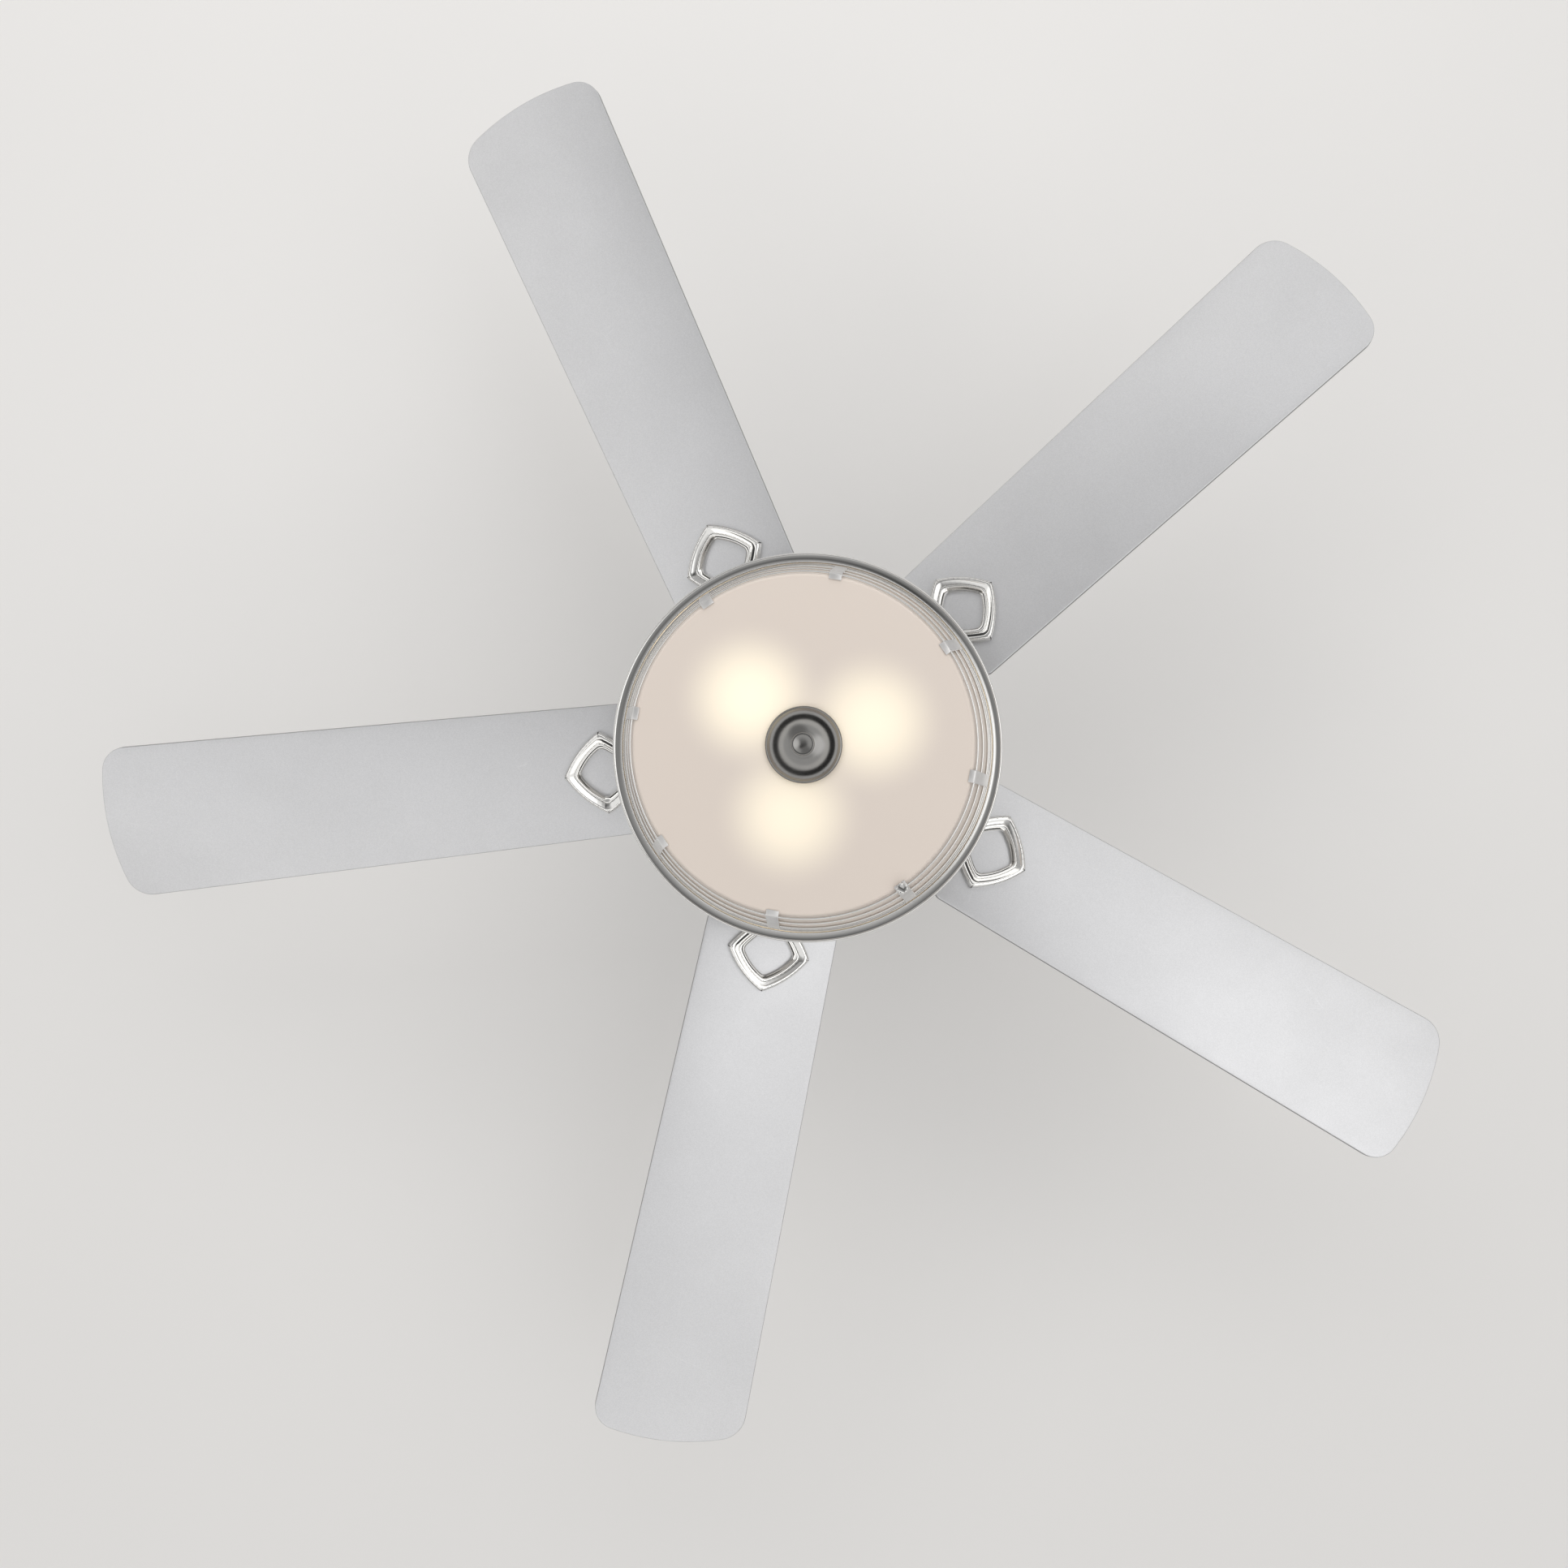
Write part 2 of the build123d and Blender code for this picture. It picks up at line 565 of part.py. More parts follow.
def rotor_bottom_shell():
    """Lower half of the turning case: carries the blade irons on its flat face."""
    lip = BEARING_R - 3
    hub = BEARING_R + HUB_WALL
    seat = LOWER_BEARING_BOTTOM
    hub_end = seat + BEARING_T
    shell = turned((lip, ROTOR_BOTTOM), (ROTOR_R, ROTOR_BOTTOM), (ROTOR_R, ROTOR_SPLIT - ROTOR_LIP_T),
                   (ROTOR_RIM_R, ROTOR_SPLIT - ROTOR_LIP_T), (ROTOR_RIM_R, ROTOR_SPLIT),
                   (ROTOR_INSIDE_R, ROTOR_SPLIT), (ROTOR_INSIDE_R, ROTOR_BOTTOM + ROTOR_WALL),
                   (hub, ROTOR_BOTTOM + ROTOR_WALL), (hub, hub_end), (BEARING_R, hub_end),
                   (BEARING_R, seat), (lip, seat))
    for bar in shell_screw_bars() + iron_screw_bars():
        shell -= bar
    return shell


def shell_screw_bars():
    """Bars of the screws that join the two halves of the rotor's case."""
    middle = (ROTOR_R + ROTOR_RIM_R) / 2
    bar = rod(SHELL_SCREW_R, ROTOR_SPLIT + ROTOR_LIP_T, ROTOR_SPLIT - ROTOR_LIP_T, middle)
    return spread(bar, BLADE_COUNT, BLADE_ANGLE + 36)


def rotor_shell_screws():
    """Screws through the rotor case's rim, heads down."""
    head_z = ROTOR_SPLIT - ROTOR_LIP_T
    screws = []
    for bar in shell_screw_bars():
        centre = bar.center()
        screws.append(bar + rod(3.4, head_z, head_z - 2.2, centre.X, centre.Y))
    return screws


def rotor_core():
    """Ring of laminations with the cast cage, pressed inside the rotor's case."""
    return tube(ROTOR_INSIDE_R, STATOR_R + AIR_GAP, CORE_TOP, CORE_BOTTOM)


# ---------------------------------------------------------------- blades and irons
def blade_place(index):
    """Turns a blade's own frame (X outwards, Z square to the blade) into the fan's."""
    angle = BLADE_ANGLE + 360.0 * index / BLADE_COUNT
    return Rot(0, 0, angle) * Pos(0, 0, BLADE_Z) * Rot(-BLADE_PITCH, 0, 0)


def blade_screw_spots():
    """Where the three screws of one blade stand, in the blade's frame."""
    corner = BLADE_SCREW_INSET * math.sqrt(2)
    return [(FRAME_TIP_R - corner, 0), (FRAME_SIDE_R, FRAME_HALF - corner), (FRAME_SIDE_R, corner - FRAME_HALF)]


def blade_outline():
    """Plan of a blade: widening from root to tip, with a shallow arc across the tip."""
    arc_middle = BLADE_TIP_R - BLADE_TIP_ARC_R
    corner_x = arc_middle + math.sqrt(BLADE_TIP_ARC_R ** 2 - BLADE_TIP_HALF ** 2)
    root_low = (BLADE_ROOT_R, -BLADE_ROOT_HALF)
    tip_low = (corner_x, -BLADE_TIP_HALF)
    tip_high = (corner_x, BLADE_TIP_HALF)
    root_high = (BLADE_ROOT_R, BLADE_ROOT_HALF)
    tip = ThreePointArc(tip_low, (BLADE_TIP_R, 0), tip_high)
    sides = Polyline(tip_high, root_high, root_low, tip_low)
    face = make_face([tip, sides])
    tips = face.vertices().sort_by(Axis.X)[-2:]
    face = fillet(tips, BLADE_TIP_CORNER_R)
    roots = face.vertices().sort_by(Axis.X)[:2]
    return fillet(roots, BLADE_ROOT_CORNER_R)


def blade():
    """Flat board in its own frame, edges broken, drilled for its three screws."""
    board = extrude(Pos(0, 0, -BLADE_T / 2) * blade_outline(), BLADE_T)
    rims = board.edges().group_by(Axis.Z)
    board = chamfer(rims[0] + rims[-1], BLADE_EDGE)
    for x, y in blade_screw_spots():
        board -= rod(BLADE_SCREW_R + BLADE_HOLE_CLEAR, BLADE_T, -BLADE_T, x, y)
    return board


def blade_screws():
    """Washer-head screws down through the blades into the irons."""
    top = BLADE_T / 2
    group = []
    for index in range(BLADE_COUNT):
        for x, y in blade_screw_spots():
            washer = rod(6.0, top + 1.0, top, x, y)
            screw = Pos(x, y, top + 1.0) * pan_screw(4.2, 2.4, BLADE_SCREW_R, BLADE_T + 1.0 + BLADE_SCREW_BITE)
            group.append(blade_place(index) * (washer + screw))
    return group


def frame_outline(inset):
    """Plan of an iron's open frame, a square on its corner with bowed sides, drawn inset all round."""
    corner = inset * math.sqrt(2)
    bulge = FRAME_BULGE * (1 - corner / FRAME_HALF) ** 2
    half = FRAME_HALF - corner
    corners = [(FRAME_TIP_R - corner, 0), (FRAME_SIDE_R, half), (FRAME_IN_R + corner, 0), (FRAME_SIDE_R, -half)]
    sides = []
    for (x0, y0), (x1, y1) in zip(corners, corners[1:] + corners[:1]):
        length = math.hypot(x1 - x0, y1 - y0)
        out = (y1 - y0) / length, (x0 - x1) / length
        middle = (x0 + x1) / 2 + out[0] * bulge, (y0 + y1) / 2 + out[1] * bulge
        sides.append(ThreePointArc((x0, y0), middle, (x1, y1)))
    face = make_face(sides)
    return fillet(face.vertices(), max(FRAME_CORNER_R - inset, FRAME_INNER_CORNER_R))


def iron_frame():
    """Stepped moulding of an iron, hanging under the blade in the blade's frame."""
    under = -BLADE_T / 2
    tallest = FRAME_STEPS[0][1]
    frame = extrude(Pos(0, 0, under - tallest) * frame_outline(0), tallest)
    frame = fillet(frame.edges().group_by(Axis.Z)[0], FRAME_BEAD)
    for inset, height in FRAME_STEPS[1:]:
        frame -= extrude(Pos(0, 0, under - tallest) * frame_outline(inset), tallest - height)
    frame -= extrude(Pos(0, 0, under - 2 * tallest) * frame_outline(FRAME_BAND), 3 * tallest)
    for x, y in blade_screw_spots():
        frame -= rod(BLADE_SCREW_R, under + 1, under - BLADE_SCREW_BITE, x, y)
    return frame


def arm_section(distance, height, pitch, half, thick):
    """Cross-section of an iron's arm at a distance from the fan's axis."""
    plane = Plane(origin=(distance, 0, 0), x_dir=(0, 1, 0), z_dir=(1, 0, 0))
    lifted = Pos(0, 0, BLADE_Z) * Rot(-pitch, 0, 0) * Pos(0, 0, height)
    return (lifted * (plane * Rectangle(2 * half, thick))).face()


def blade_iron():
    """Cast iron: foot screwed under the rotor, arm that drops and twists, frame under the blade."""
    arm_height = -BLADE_T / 2 - 1.9 - ARM_T / 2
    foot_height = FOOT_BOTTOM + FOOT_T / 2 - BLADE_Z
    foot = block(FOOT_IN_R, FOOT_OUT_R, -FOOT_HALF, FOOT_HALF, FOOT_BOTTOM, ROTOR_BOTTOM)
    foot = fillet(foot.edges().filter_by(Axis.Z), 6.0)
    start = arm_section(FOOT_OUT_R - 6, foot_height, 0, ARM_HALF + 3, FOOT_T)
    bend = arm_section(ARM_BEND_R, arm_height, BLADE_PITCH, ARM_HALF, ARM_T)
    end = arm_section(FRAME_IN_R + 5, arm_height, BLADE_PITCH, ARM_HALF - 2, ARM_T)
    arm = loft([start, bend], ruled=True) + loft([bend, end], ruled=True)
    frame = Pos(0, 0, BLADE_Z) * Rot(-BLADE_PITCH, 0, 0) * iron_frame()
    iron = foot + arm + frame
    for side in (-1, 1):
        iron -= rod(FOOT_SCREW_R, ROTOR_BOTTOM + 1, FOOT_BOTTOM - 1, FOOT_SCREW_OUT, side * FOOT_SCREW_SIDE)
    return iron


def iron_screw_bars():
    """Bars of the screws that hold the irons' feet to the rotor."""
    bars = []
    for side in (-1, 1):
        bar = rod(FOOT_SCREW_R, ROTOR_BOTTOM + ROTOR_WALL, FOOT_BOTTOM, FOOT_SCREW_OUT, side * FOOT_SCREW_SIDE)
        bars += spread(bar, BLADE_COUNT, BLADE_ANGLE)
    return bars


def iron_screws():
    """Screws up through the irons' feet."""
    screws = []
    for bar in iron_screw_bars():
        centre = bar.center()
        head = Pos(centre.X, centre.Y, FOOT_BOTTOM) * Rot(180, 0, 0) * pan_screw(4.5, 2.8, FOOT_SCREW_R, 1.0)
        screws.append(bar + head)
    return screws


# ---------------------------------------------------------------- switch housing
def switch_plate():
    """Plate clamped on the shaft's end: roof of the switch housing."""
    return tube(SWITCH_R, SHAFT_R, SWITCH_TOP, SWITCH_PLATE_BOTTOM)


def shaft_nut():
    """Nut on the shaft under the switch plate."""
    return hex_nut(SHAFT_NUT_R, SHAFT_R, SWITCH_PLATE_BOTTOM, SWITCH_PLATE_BOTTOM - SHAFT_NUT_T)


def switch_housing():
    """Round casing between the switch plate and the light pan."""
    lip = 6.0
    r = SWITCH_R
    w = SWITCH_WALL
    return turned((r - w, SWITCH_PLATE_BOTTOM), (r, SWITCH_PLATE_BOTTOM), (r, SWITCH_BOTTOM),
                  (r - lip, SWITCH_BOTTOM), (r - lip, SWITCH_BOTTOM + w), (r - w, SWITCH_BOTTOM + w))


def capacitor():
    """Run capacitor, potted box with two terminals."""
    body = block(-22, 22, -34, -17, PAN_TOP, PAN_TOP + 26)
    body = fillet(body.edges().filter_by(Axis.Z), 3.0)
    for side in (-1, 1):
        body += block(side * 10 - 2.4, side * 10 + 2.4, -25.9, -25.1, PAN_TOP + 26, PAN_TOP + 33)
    return body


def receiver():
    """Remote-control receiver."""
    box = block(-30, 30, 13, 41, PAN_TOP, PAN_TOP + 20)
    return fillet(box.edges().filter_by(Axis.Z) + box.edges().group_by(Axis.Z)[-1], 2.0)


# ---------------------------------------------------------------- light pan and lamps
def light_pan():
    """Spun pan with a rolled rim and a flat bright band round its underside."""
    w = PAN_WALL
    r = PAN_R
    skin = [(CENTRE_ROD_R, PAN_TOP), (SWITCH_R + 4, PAN_TOP), (r - 14, PAN_TOP - 8), (r - 4, PAN_TOP - 13),
            (r - 0.6, PAN_TOP - 17), (r, FLANGE_Z + 2.2), (r - 0.5, FLANGE_Z + 0.7), (r - 1.6, FLANGE_Z),
            (BAND_IN_R, FLANGE_Z), (BAND_IN_R, FLANGE_Z + 3.2)]
    inside = [(BAND_IN_R + w, FLANGE_Z + 3.2), (BAND_IN_R + w, FLANGE_Z + w), (r - 2, FLANGE_Z + w),
              (r - w - 0.2, FLANGE_Z + 2.2), (r - w - 0.8, PAN_TOP - 17.5), (r - w - 4, PAN_TOP - 14),
              (r - 14 - w / 2, PAN_TOP - 8 - w), (SWITCH_R + 4 - w / 2, PAN_TOP - w), (CENTRE_ROD_R, PAN_TOP - w)]
    pan = turned(*skin, *inside)
    for bar in pan_screw_bars():
        pan -= bar
    return pan


def pan_screw_bars():
    """Bars of the screws that hold the pan up to the switch housing's lip."""
    bar = rod(PAN_SCREW_R, PAN_TOP, PAN_TOP - PAN_WALL, SWITCH_R - 3.6)
    return spread(bar, LAMP_COUNT, 41)


def pan_screws():
    """Screws under the pan."""
    screws = []
    for bar in pan_screw_bars():
        centre = bar.center()
        screws.append(bar + rod(4.0, PAN_TOP - PAN_WALL, PAN_TOP - PAN_WALL - 2.4, centre.X, centre.Y))
    return screws


def reflector():
    """White dished reflector over the lamps, gripped on top of the lamp bracket."""
    flat_r = LAMP_DISC_R + 6
    base = LAMP_DISC_TOP
    rim = base + REFLECTOR_RISE
    t = REFLECTOR_T
    return turned((CENTRE_ROD_R, base), (flat_r, base), (REFLECTOR_R, rim), (REFLECTOR_R, rim + t),
                  (flat_r, base + t), (CENTRE_ROD_R, base + t))


def centre_rod():
    """Threaded rod down the middle of the light, for the lamp bracket and the finial."""
    bar = rod(CENTRE_ROD_R, CENTRE_ROD_TOP, CENTRE_ROD_BOTTOM)
    return chamfer(bar.edges().filter_by(GeomType.CIRCLE), 0.6)


def rod_nuts():
    """Nuts on the centre rod: above and below the pan, above the reflector, below the lamp bracket."""
    tops = [PAN_TOP + ROD_NUT_T, PAN_TOP - PAN_WALL, LAMP_DISC_TOP + REFLECTOR_T + ROD_NUT_T, LAMP_DISC_BOTTOM]
    return [hex_nut(ROD_NUT_R, CENTRE_ROD_R, top, top - ROD_NUT_T) for top in tops]


def lamp_place(index):
    """Turns a lamp's own frame (Z along the lamp, from the socket's back) into the fan's."""
    angle = LAMP_ANGLE + 360.0 * index / LAMP_COUNT
    return Rot(0, 0, angle) * Pos(LAMP_IN_R, 0, LAMP_Z) * Rot(0, 90 + LAMP_TILT, 0)


def lamp_bracket():
    """Pressed spider: disc on the centre rod with a bent tab behind each socket."""
    bracket = tube(LAMP_DISC_R, CENTRE_ROD_R, LAMP_DISC_TOP, LAMP_DISC_BOTTOM)
    reach = (LAMP_DISC_BOTTOM - LAMP_Z) / math.cos(math.radians(LAMP_TILT)) + LAMP_SHEET * 0.6
    tab = block(-reach, SOCKET_R / 2, -LAMP_TAB_HALF, LAMP_TAB_HALF, -LAMP_SHEET, 0)
    below = block(-60, 60, -60, 60, LAMP_Z - 40, LAMP_DISC_TOP)
    for index in range(LAMP_COUNT):
        bracket += (lamp_place(index) * tab) & below
    return bracket


def lamp_sockets():
    """Three screw sockets."""
    cup = tube(SOCKET_R, SOCKET_R - SOCKET_WALL, SOCKET_LENGTH, 0)
    floor = rod(SOCKET_R - SOCKET_WALL, SOCKET_FLOOR, 0)
    rim = tube(SOCKET_R + 1.2, SOCKET_R, SOCKET_LENGTH, SOCKET_LENGTH - 3)
    socket = cup + floor + rim
    return [lamp_place(index) * socket for index in range(LAMP_COUNT)]


def bulb():
    """Globe lamp in its own frame: screw base, collar and round envelope."""
    base_r = SOCKET_R - SOCKET_WALL - BULB_BASE_CLEAR
    start = SOCKET_FLOOR + 0.5
    neck_z = BULB_CENTRE - math.sqrt(BULB_R ** 2 - (base_r + 1) ** 2)
    base = turned((0, start), (4, start), (base_r, start + 4), (base_r, SOCKET_LENGTH), (base_r + 1, neck_z),
                  (0, neck_z))
    return base + Pos(0, 0, BULB_CENTRE) * Sphere(BULB_R)


# ---------------------------------------------------------------- shade
def glass_radius(height):
    """Outside radius of the shade's tapering side at a height."""
    return GLASS_BOTTOM_R + GLASS_SLOPE * (height - GLASS_BOTTOM)


def glass_shade():
    """Frosted tapering drum with a flat floor, holed for the centre rod."""
    hole = CENTRE_ROD_R + GLASS_HOLE_CLEAR
    side = math.hypot(1, GLASS_SLOPE) * GLASS_WALL
    inner_floor = GLASS_BOTTOM + GLASS_WALL
    shell = turned((hole, GLASS_BOTTOM), (GLASS_BOTTOM_R, GLASS_BOTTOM), (GLASS_TOP_R, GLASS_TOP),
                   (GLASS_TOP_R - side, GLASS_TOP), (glass_radius(inner_floor) - side, inner_floor),
                   (hole, inner_floor))
    rings = shell.edges().filter_by(GeomType.CIRCLE)
    low = rings.filter_by(lambda e: abs(e.center().Z - GLASS_BOTTOM) < 0.01).sort_by(SortBy.RADIUS)[-1]
    return fillet(low, GLASS_CORNER)


def strap_outer(height):
    """Radius of the straps' outer face at a height, drawn parallel to the glass."""
    return STRAP_BOTTOM_R + GLASS_SLOPE * (height - GLASS_BOTTOM)


def hoop(depth):
    """One round hoop of the cage, let a little into the straps' inner faces."""
    height = FLANGE_Z - depth
    square = STRAP_T - HOOP_SINK + HOOP_R
    radius = strap_outer(height) - square * math.hypot(1, GLASS_SLOPE)
    return Pos(0, 0, height) * Torus(radius, HOOP_R)


def cage_hoops():
    """Three hoops round the glass."""
    return [hoop(depth) for depth in HOOP_DEPTHS]


def cage_ring():
    """Ring that closes the cage's top, just inside the pan's band."""
    return tube(CAGE_RING_R, CAGE_RING_R - CAGE_RING_T, CAGE_RING_TOP, CAGE_RING_BOTTOM)


def strap():
    """Flat bar down the outside of the cage, turned in under the glass."""
    side = STRAP_T * math.hypot(1, GLASS_SLOPE)
    toe = GLASS_BOTTOM_R - GLASS_CORNER - STRAP_FOOT_BITE
    low = FOOT_UNDER_GLASS
    points = [(strap_outer(CAGE_RING_BOTTOM), CAGE_RING_BOTTOM), (strap_outer(low), low), (toe, low),
              (toe, GLASS_BOTTOM), (strap_outer(GLASS_BOTTOM) - side, GLASS_BOTTOM),
              (strap_outer(CAGE_RING_BOTTOM) - side, CAGE_RING_BOTTOM)]
    face = make_face(Polyline(*[(x, -STRAP_HALF, z) for x, z in points], close=True))
    bar = extrude(face, 2 * STRAP_HALF, dir=(0, 1, 0))
    for depth in HOOP_DEPTHS:
        bar -= hoop(depth)
    return bar


def strap_turn(index):
    """Turn about Z of one strap."""
    return Rot(0, 0, STRAP_ANGLE + 360.0 * index / STRAP_COUNT)


def cage_straps():
    """The plain straps."""
    plain = strap()
    return [strap_turn(index) * plain for index in range(STRAP_COUNT) if index != CLAMP_STRAP]


THUMB_OUT = strap_outer(GLASS_BOTTOM) - THUMB_THREAD_R - 0.6


def clamp_strap():
    """The strap whose foot is tapped for the thumb screw."""
    tapped = strap() - rod(THUMB_THREAD_R + THREAD_RUN, GLASS_BOTTOM + 1, FOOT_UNDER_GLASS - 1, THUMB_OUT)
    return strap_turn(CLAMP_STRAP) * tapped


def thumb_screw():
    """Small fluted thumb screw that snugs the cage to the glass."""
    top = FOOT_UNDER_GLASS - 0.4
    head = rod(THUMB_R, top, top - THUMB_H, THUMB_OUT)
    head = chamfer(head.edges().filter_by(GeomType.CIRCLE), 0.6)
    for i in range(10):
        turn = math.radians(36 * i)
        head -= rod(0.7, top + 1, top - THUMB_H - 1, THUMB_OUT + THUMB_R * math.cos(turn), THUMB_R * math.sin(turn))
    thread = rod(THUMB_THREAD_R, GLASS_BOTTOM - 0.1, top, THUMB_OUT)
    return strap_turn(CLAMP_STRAP) * (head + thread)


# ---------------------------------------------------------------- finial
def shade_washer():
    """Rubber washer between the glass and the finial."""
    return tube(WASHER_R, CENTRE_ROD_R + GLASS_HOLE_CLEAR, GLASS_BOTTOM, WASHER_BOTTOM)


def finial():
    """Turned cap and nub, threaded inside for the centre rod."""
    top = WASHER_BOTTOM
    rim = [Line((CENTRE_ROD_R + THREAD_RUN, 0, top), (FINIAL_R - 1, 0, top)),
           ThreePointArc((FINIAL_R - 1, 0, top), (FINIAL_R, 0, top - 1.4), (FINIAL_R - 1, 0, top - 2.8))]
    dish = Spline((FINIAL_R - 1, 0, top - 2.8), (FINIAL_R * 0.66, 0, top - FINIAL_CAP_H * 0.62),
                  (NUB_R - 1.2, 0, CAP_BOTTOM), tangents=((-0.55, 0, -1), (-1, 0, -0.12)))
    bore = CENTRE_ROD_BOTTOM - 1.5
    nub = Polyline((NUB_R - 1.2, 0, CAP_BOTTOM), (NUB_R - 0.8, 0, CAP_BOTTOM - 1.6), (NUB_R, 0, CAP_BOTTOM - 3.0),
                   (NUB_R, 0, NUB_BOTTOM + 0.9), (NUB_R - 0.9, 0, NUB_BOTTOM), (0, 0, NUB_BOTTOM), (0, 0, bore),
                   (CENTRE_ROD_R + THREAD_RUN, 0, bore), (CENTRE_ROD_R + THREAD_RUN, 0, top))
    return revolve(make_face(rim + [dish, nub]), Axis.Z)


# ---------------------------------------------------------------- write the parts
def all_parts():
    """Every node by name: one shape, or a list of like solids."""
    parts = {
        "ceiling_bracket": ceiling_bracket(),
        "canopy": canopy(),
        "canopy_screws": canopy_screws(),
        "hanger_ball": hanger_ball(),
        "ball_pin": ball_pin_bar(),
        "downrod": downrod(),
        "yoke": yoke(),
        "yoke_pin": yoke_pin(),
        "yoke_set_screws": yoke_set_screws(),
        "yoke_screws": yoke_screws(),
        "coupling_cover": coupling_cover(),
        "motor_adapter": motor_adapter(),
        "motor_housing": motor_housing(),
        "housing_band": housing_band(),
        "motor_shaft": motor_shaft(),
        "retaining_ring": retaining_ring(),
        "stator_core": stator_core(),
        "windings": windings(),
        "upper_bearing": bearing(UPPER_BEARING_TOP),
        "lower_bearing": bearing(LOWER_BEARING_BOTTOM + BEARING_T),
        "rotor_top_shell": rotor_top_shell(),
        "rotor_bottom_shell": rotor_bottom_shell(),
        "rotor_shell_screws": rotor_shell_screws(),
        "rotor_core": rotor_core(),
        "iron_screws": iron_screws(),
        "blade_screws": blade_screws(),
        "switch_plate": switch_plate(),
        "shaft_nut": shaft_nut(),
        "switch_housing": switch_housing(),
        "capacitor": capacitor(),
        "receiver": receiver(),
        "light_pan": light_pan(),
        "pan_screws": pan_screws(),
        "reflector": reflector(),
        "centre_rod": centre_rod(),
        "rod_nuts": rod_nuts(),
        "lamp_bracket": lamp_bracket(),
        "lamp_sockets": lamp_sockets(),
        "glass_shade": glass_shade(),
        "cage_ring": cage_ring(),
        "cage_hoops": cage_hoops(),
        "cage_straps": cage_straps(),
        "clamp_strap": clamp_strap(),
        "thumb_screw": thumb_screw(),
        "shade_washer": shade_washer(),
        "finial": finial(),
    }
    iron = blade_iron()
    board = blade()
    for index in range(BLADE_COUNT):
        turn = Rot(0, 0, BLADE_ANGLE + 360.0 * index / BLADE_COUNT)
        parts[f"blade_iron_{index + 1}"] = turn * iron
        parts[f"blade_{index + 1}"] = blade_place(index) * board
    lamp = bulb()
    for index in range(LAMP_COUNT):
        parts[f"bulb_{index + 1}"] = lamp_place(index) * lamp
    return parts


def main():
    """Writes one STEP file for each node."""
    os.makedirs("parts", exist_ok=True)
    for name, shape in all_parts().items():
        if isinstance(shape, list):
            shape = Compound(children=shape)
        export_step(shape, f"parts/{name}.step")


main()
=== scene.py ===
"""Looks of a five-blade ceiling fan with a light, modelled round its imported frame.

Metres, +Z up, the origin on the ceiling. Every piece takes its place from the frame's nodes and joints.
"""
import json
import math

import bpy
from bpy.props import FloatProperty, FloatVectorProperty, IntProperty, PointerProperty
from bpy.types import Operator, Panel, PropertyGroup
from mathutils import Matrix, Vector


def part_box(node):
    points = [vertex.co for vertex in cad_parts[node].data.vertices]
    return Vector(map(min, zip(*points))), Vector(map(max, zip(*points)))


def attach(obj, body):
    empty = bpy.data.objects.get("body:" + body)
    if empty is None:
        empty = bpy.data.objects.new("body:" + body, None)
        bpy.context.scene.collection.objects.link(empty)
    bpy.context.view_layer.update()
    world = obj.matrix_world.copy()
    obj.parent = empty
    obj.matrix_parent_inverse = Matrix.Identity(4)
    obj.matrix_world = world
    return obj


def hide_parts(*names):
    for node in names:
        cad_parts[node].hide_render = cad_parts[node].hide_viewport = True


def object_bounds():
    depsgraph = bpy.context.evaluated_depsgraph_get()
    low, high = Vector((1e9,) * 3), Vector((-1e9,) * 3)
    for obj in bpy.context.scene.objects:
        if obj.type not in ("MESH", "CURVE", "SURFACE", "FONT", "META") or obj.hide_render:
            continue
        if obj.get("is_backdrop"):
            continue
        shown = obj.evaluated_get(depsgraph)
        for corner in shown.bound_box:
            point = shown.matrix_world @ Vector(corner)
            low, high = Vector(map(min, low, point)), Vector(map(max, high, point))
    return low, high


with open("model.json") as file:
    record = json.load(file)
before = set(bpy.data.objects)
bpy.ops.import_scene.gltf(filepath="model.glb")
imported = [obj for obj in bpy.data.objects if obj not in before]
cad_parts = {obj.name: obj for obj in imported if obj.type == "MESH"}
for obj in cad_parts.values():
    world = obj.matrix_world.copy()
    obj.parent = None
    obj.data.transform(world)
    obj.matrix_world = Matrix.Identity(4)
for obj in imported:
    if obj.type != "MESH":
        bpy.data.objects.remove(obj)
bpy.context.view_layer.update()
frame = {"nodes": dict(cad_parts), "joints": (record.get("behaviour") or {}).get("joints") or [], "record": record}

bl_info = {
    "name": "Ceiling Fan With Light",
    "version": (1, 0, 0),
    "blender": (4, 5, 0),
    "location": "3D View > Sidebar > Ceiling Fan",
    "description": "Models and finishes a ceiling fan with a frosted drum light",
    "category": "Object",
}

TURN = 2 * math.pi
MM = 0.001


# ---------------------------------------------------------------- sizes and colours a user may change
class BladeSettings(PropertyGroup):
    """Sizes and colours of the blades and their irons."""

    count: IntProperty(name="Blades", description="Number of blades", default=5, min=3, max=8)
    first_angle: FloatProperty(
        name="First blade", description="Direction of the first blade about the rod",
        default=math.radians(-42.1),
        unit="ROTATION", subtype="ANGLE")
    pitch: FloatProperty(
        name="Pitch", description="Twist of each blade about its own length", default=math.radians(12),
        unit="ROTATION", subtype="ANGLE")
    thickness: FloatProperty(
        name="Board thickness", description="Thickness of a blade", default=5.5 * MM, unit="LENGTH",
        precision=4)
    edge_round: FloatProperty(
        name="Edge rounding", description="Rounding of a blade's edges", default=0.8 * MM, unit="LENGTH",
        precision=4)
    lacquer: FloatVectorProperty(
        name="Lacquer", description="Colour of the silver lacquer", default=(0.62, 0.62, 0.63),
        subtype="COLOR")
    bead: FloatProperty(
        name="Iron bead", description="Height of the rounded bead round an iron's frame", default=8.2 * MM,
        unit="LENGTH", precision=4)


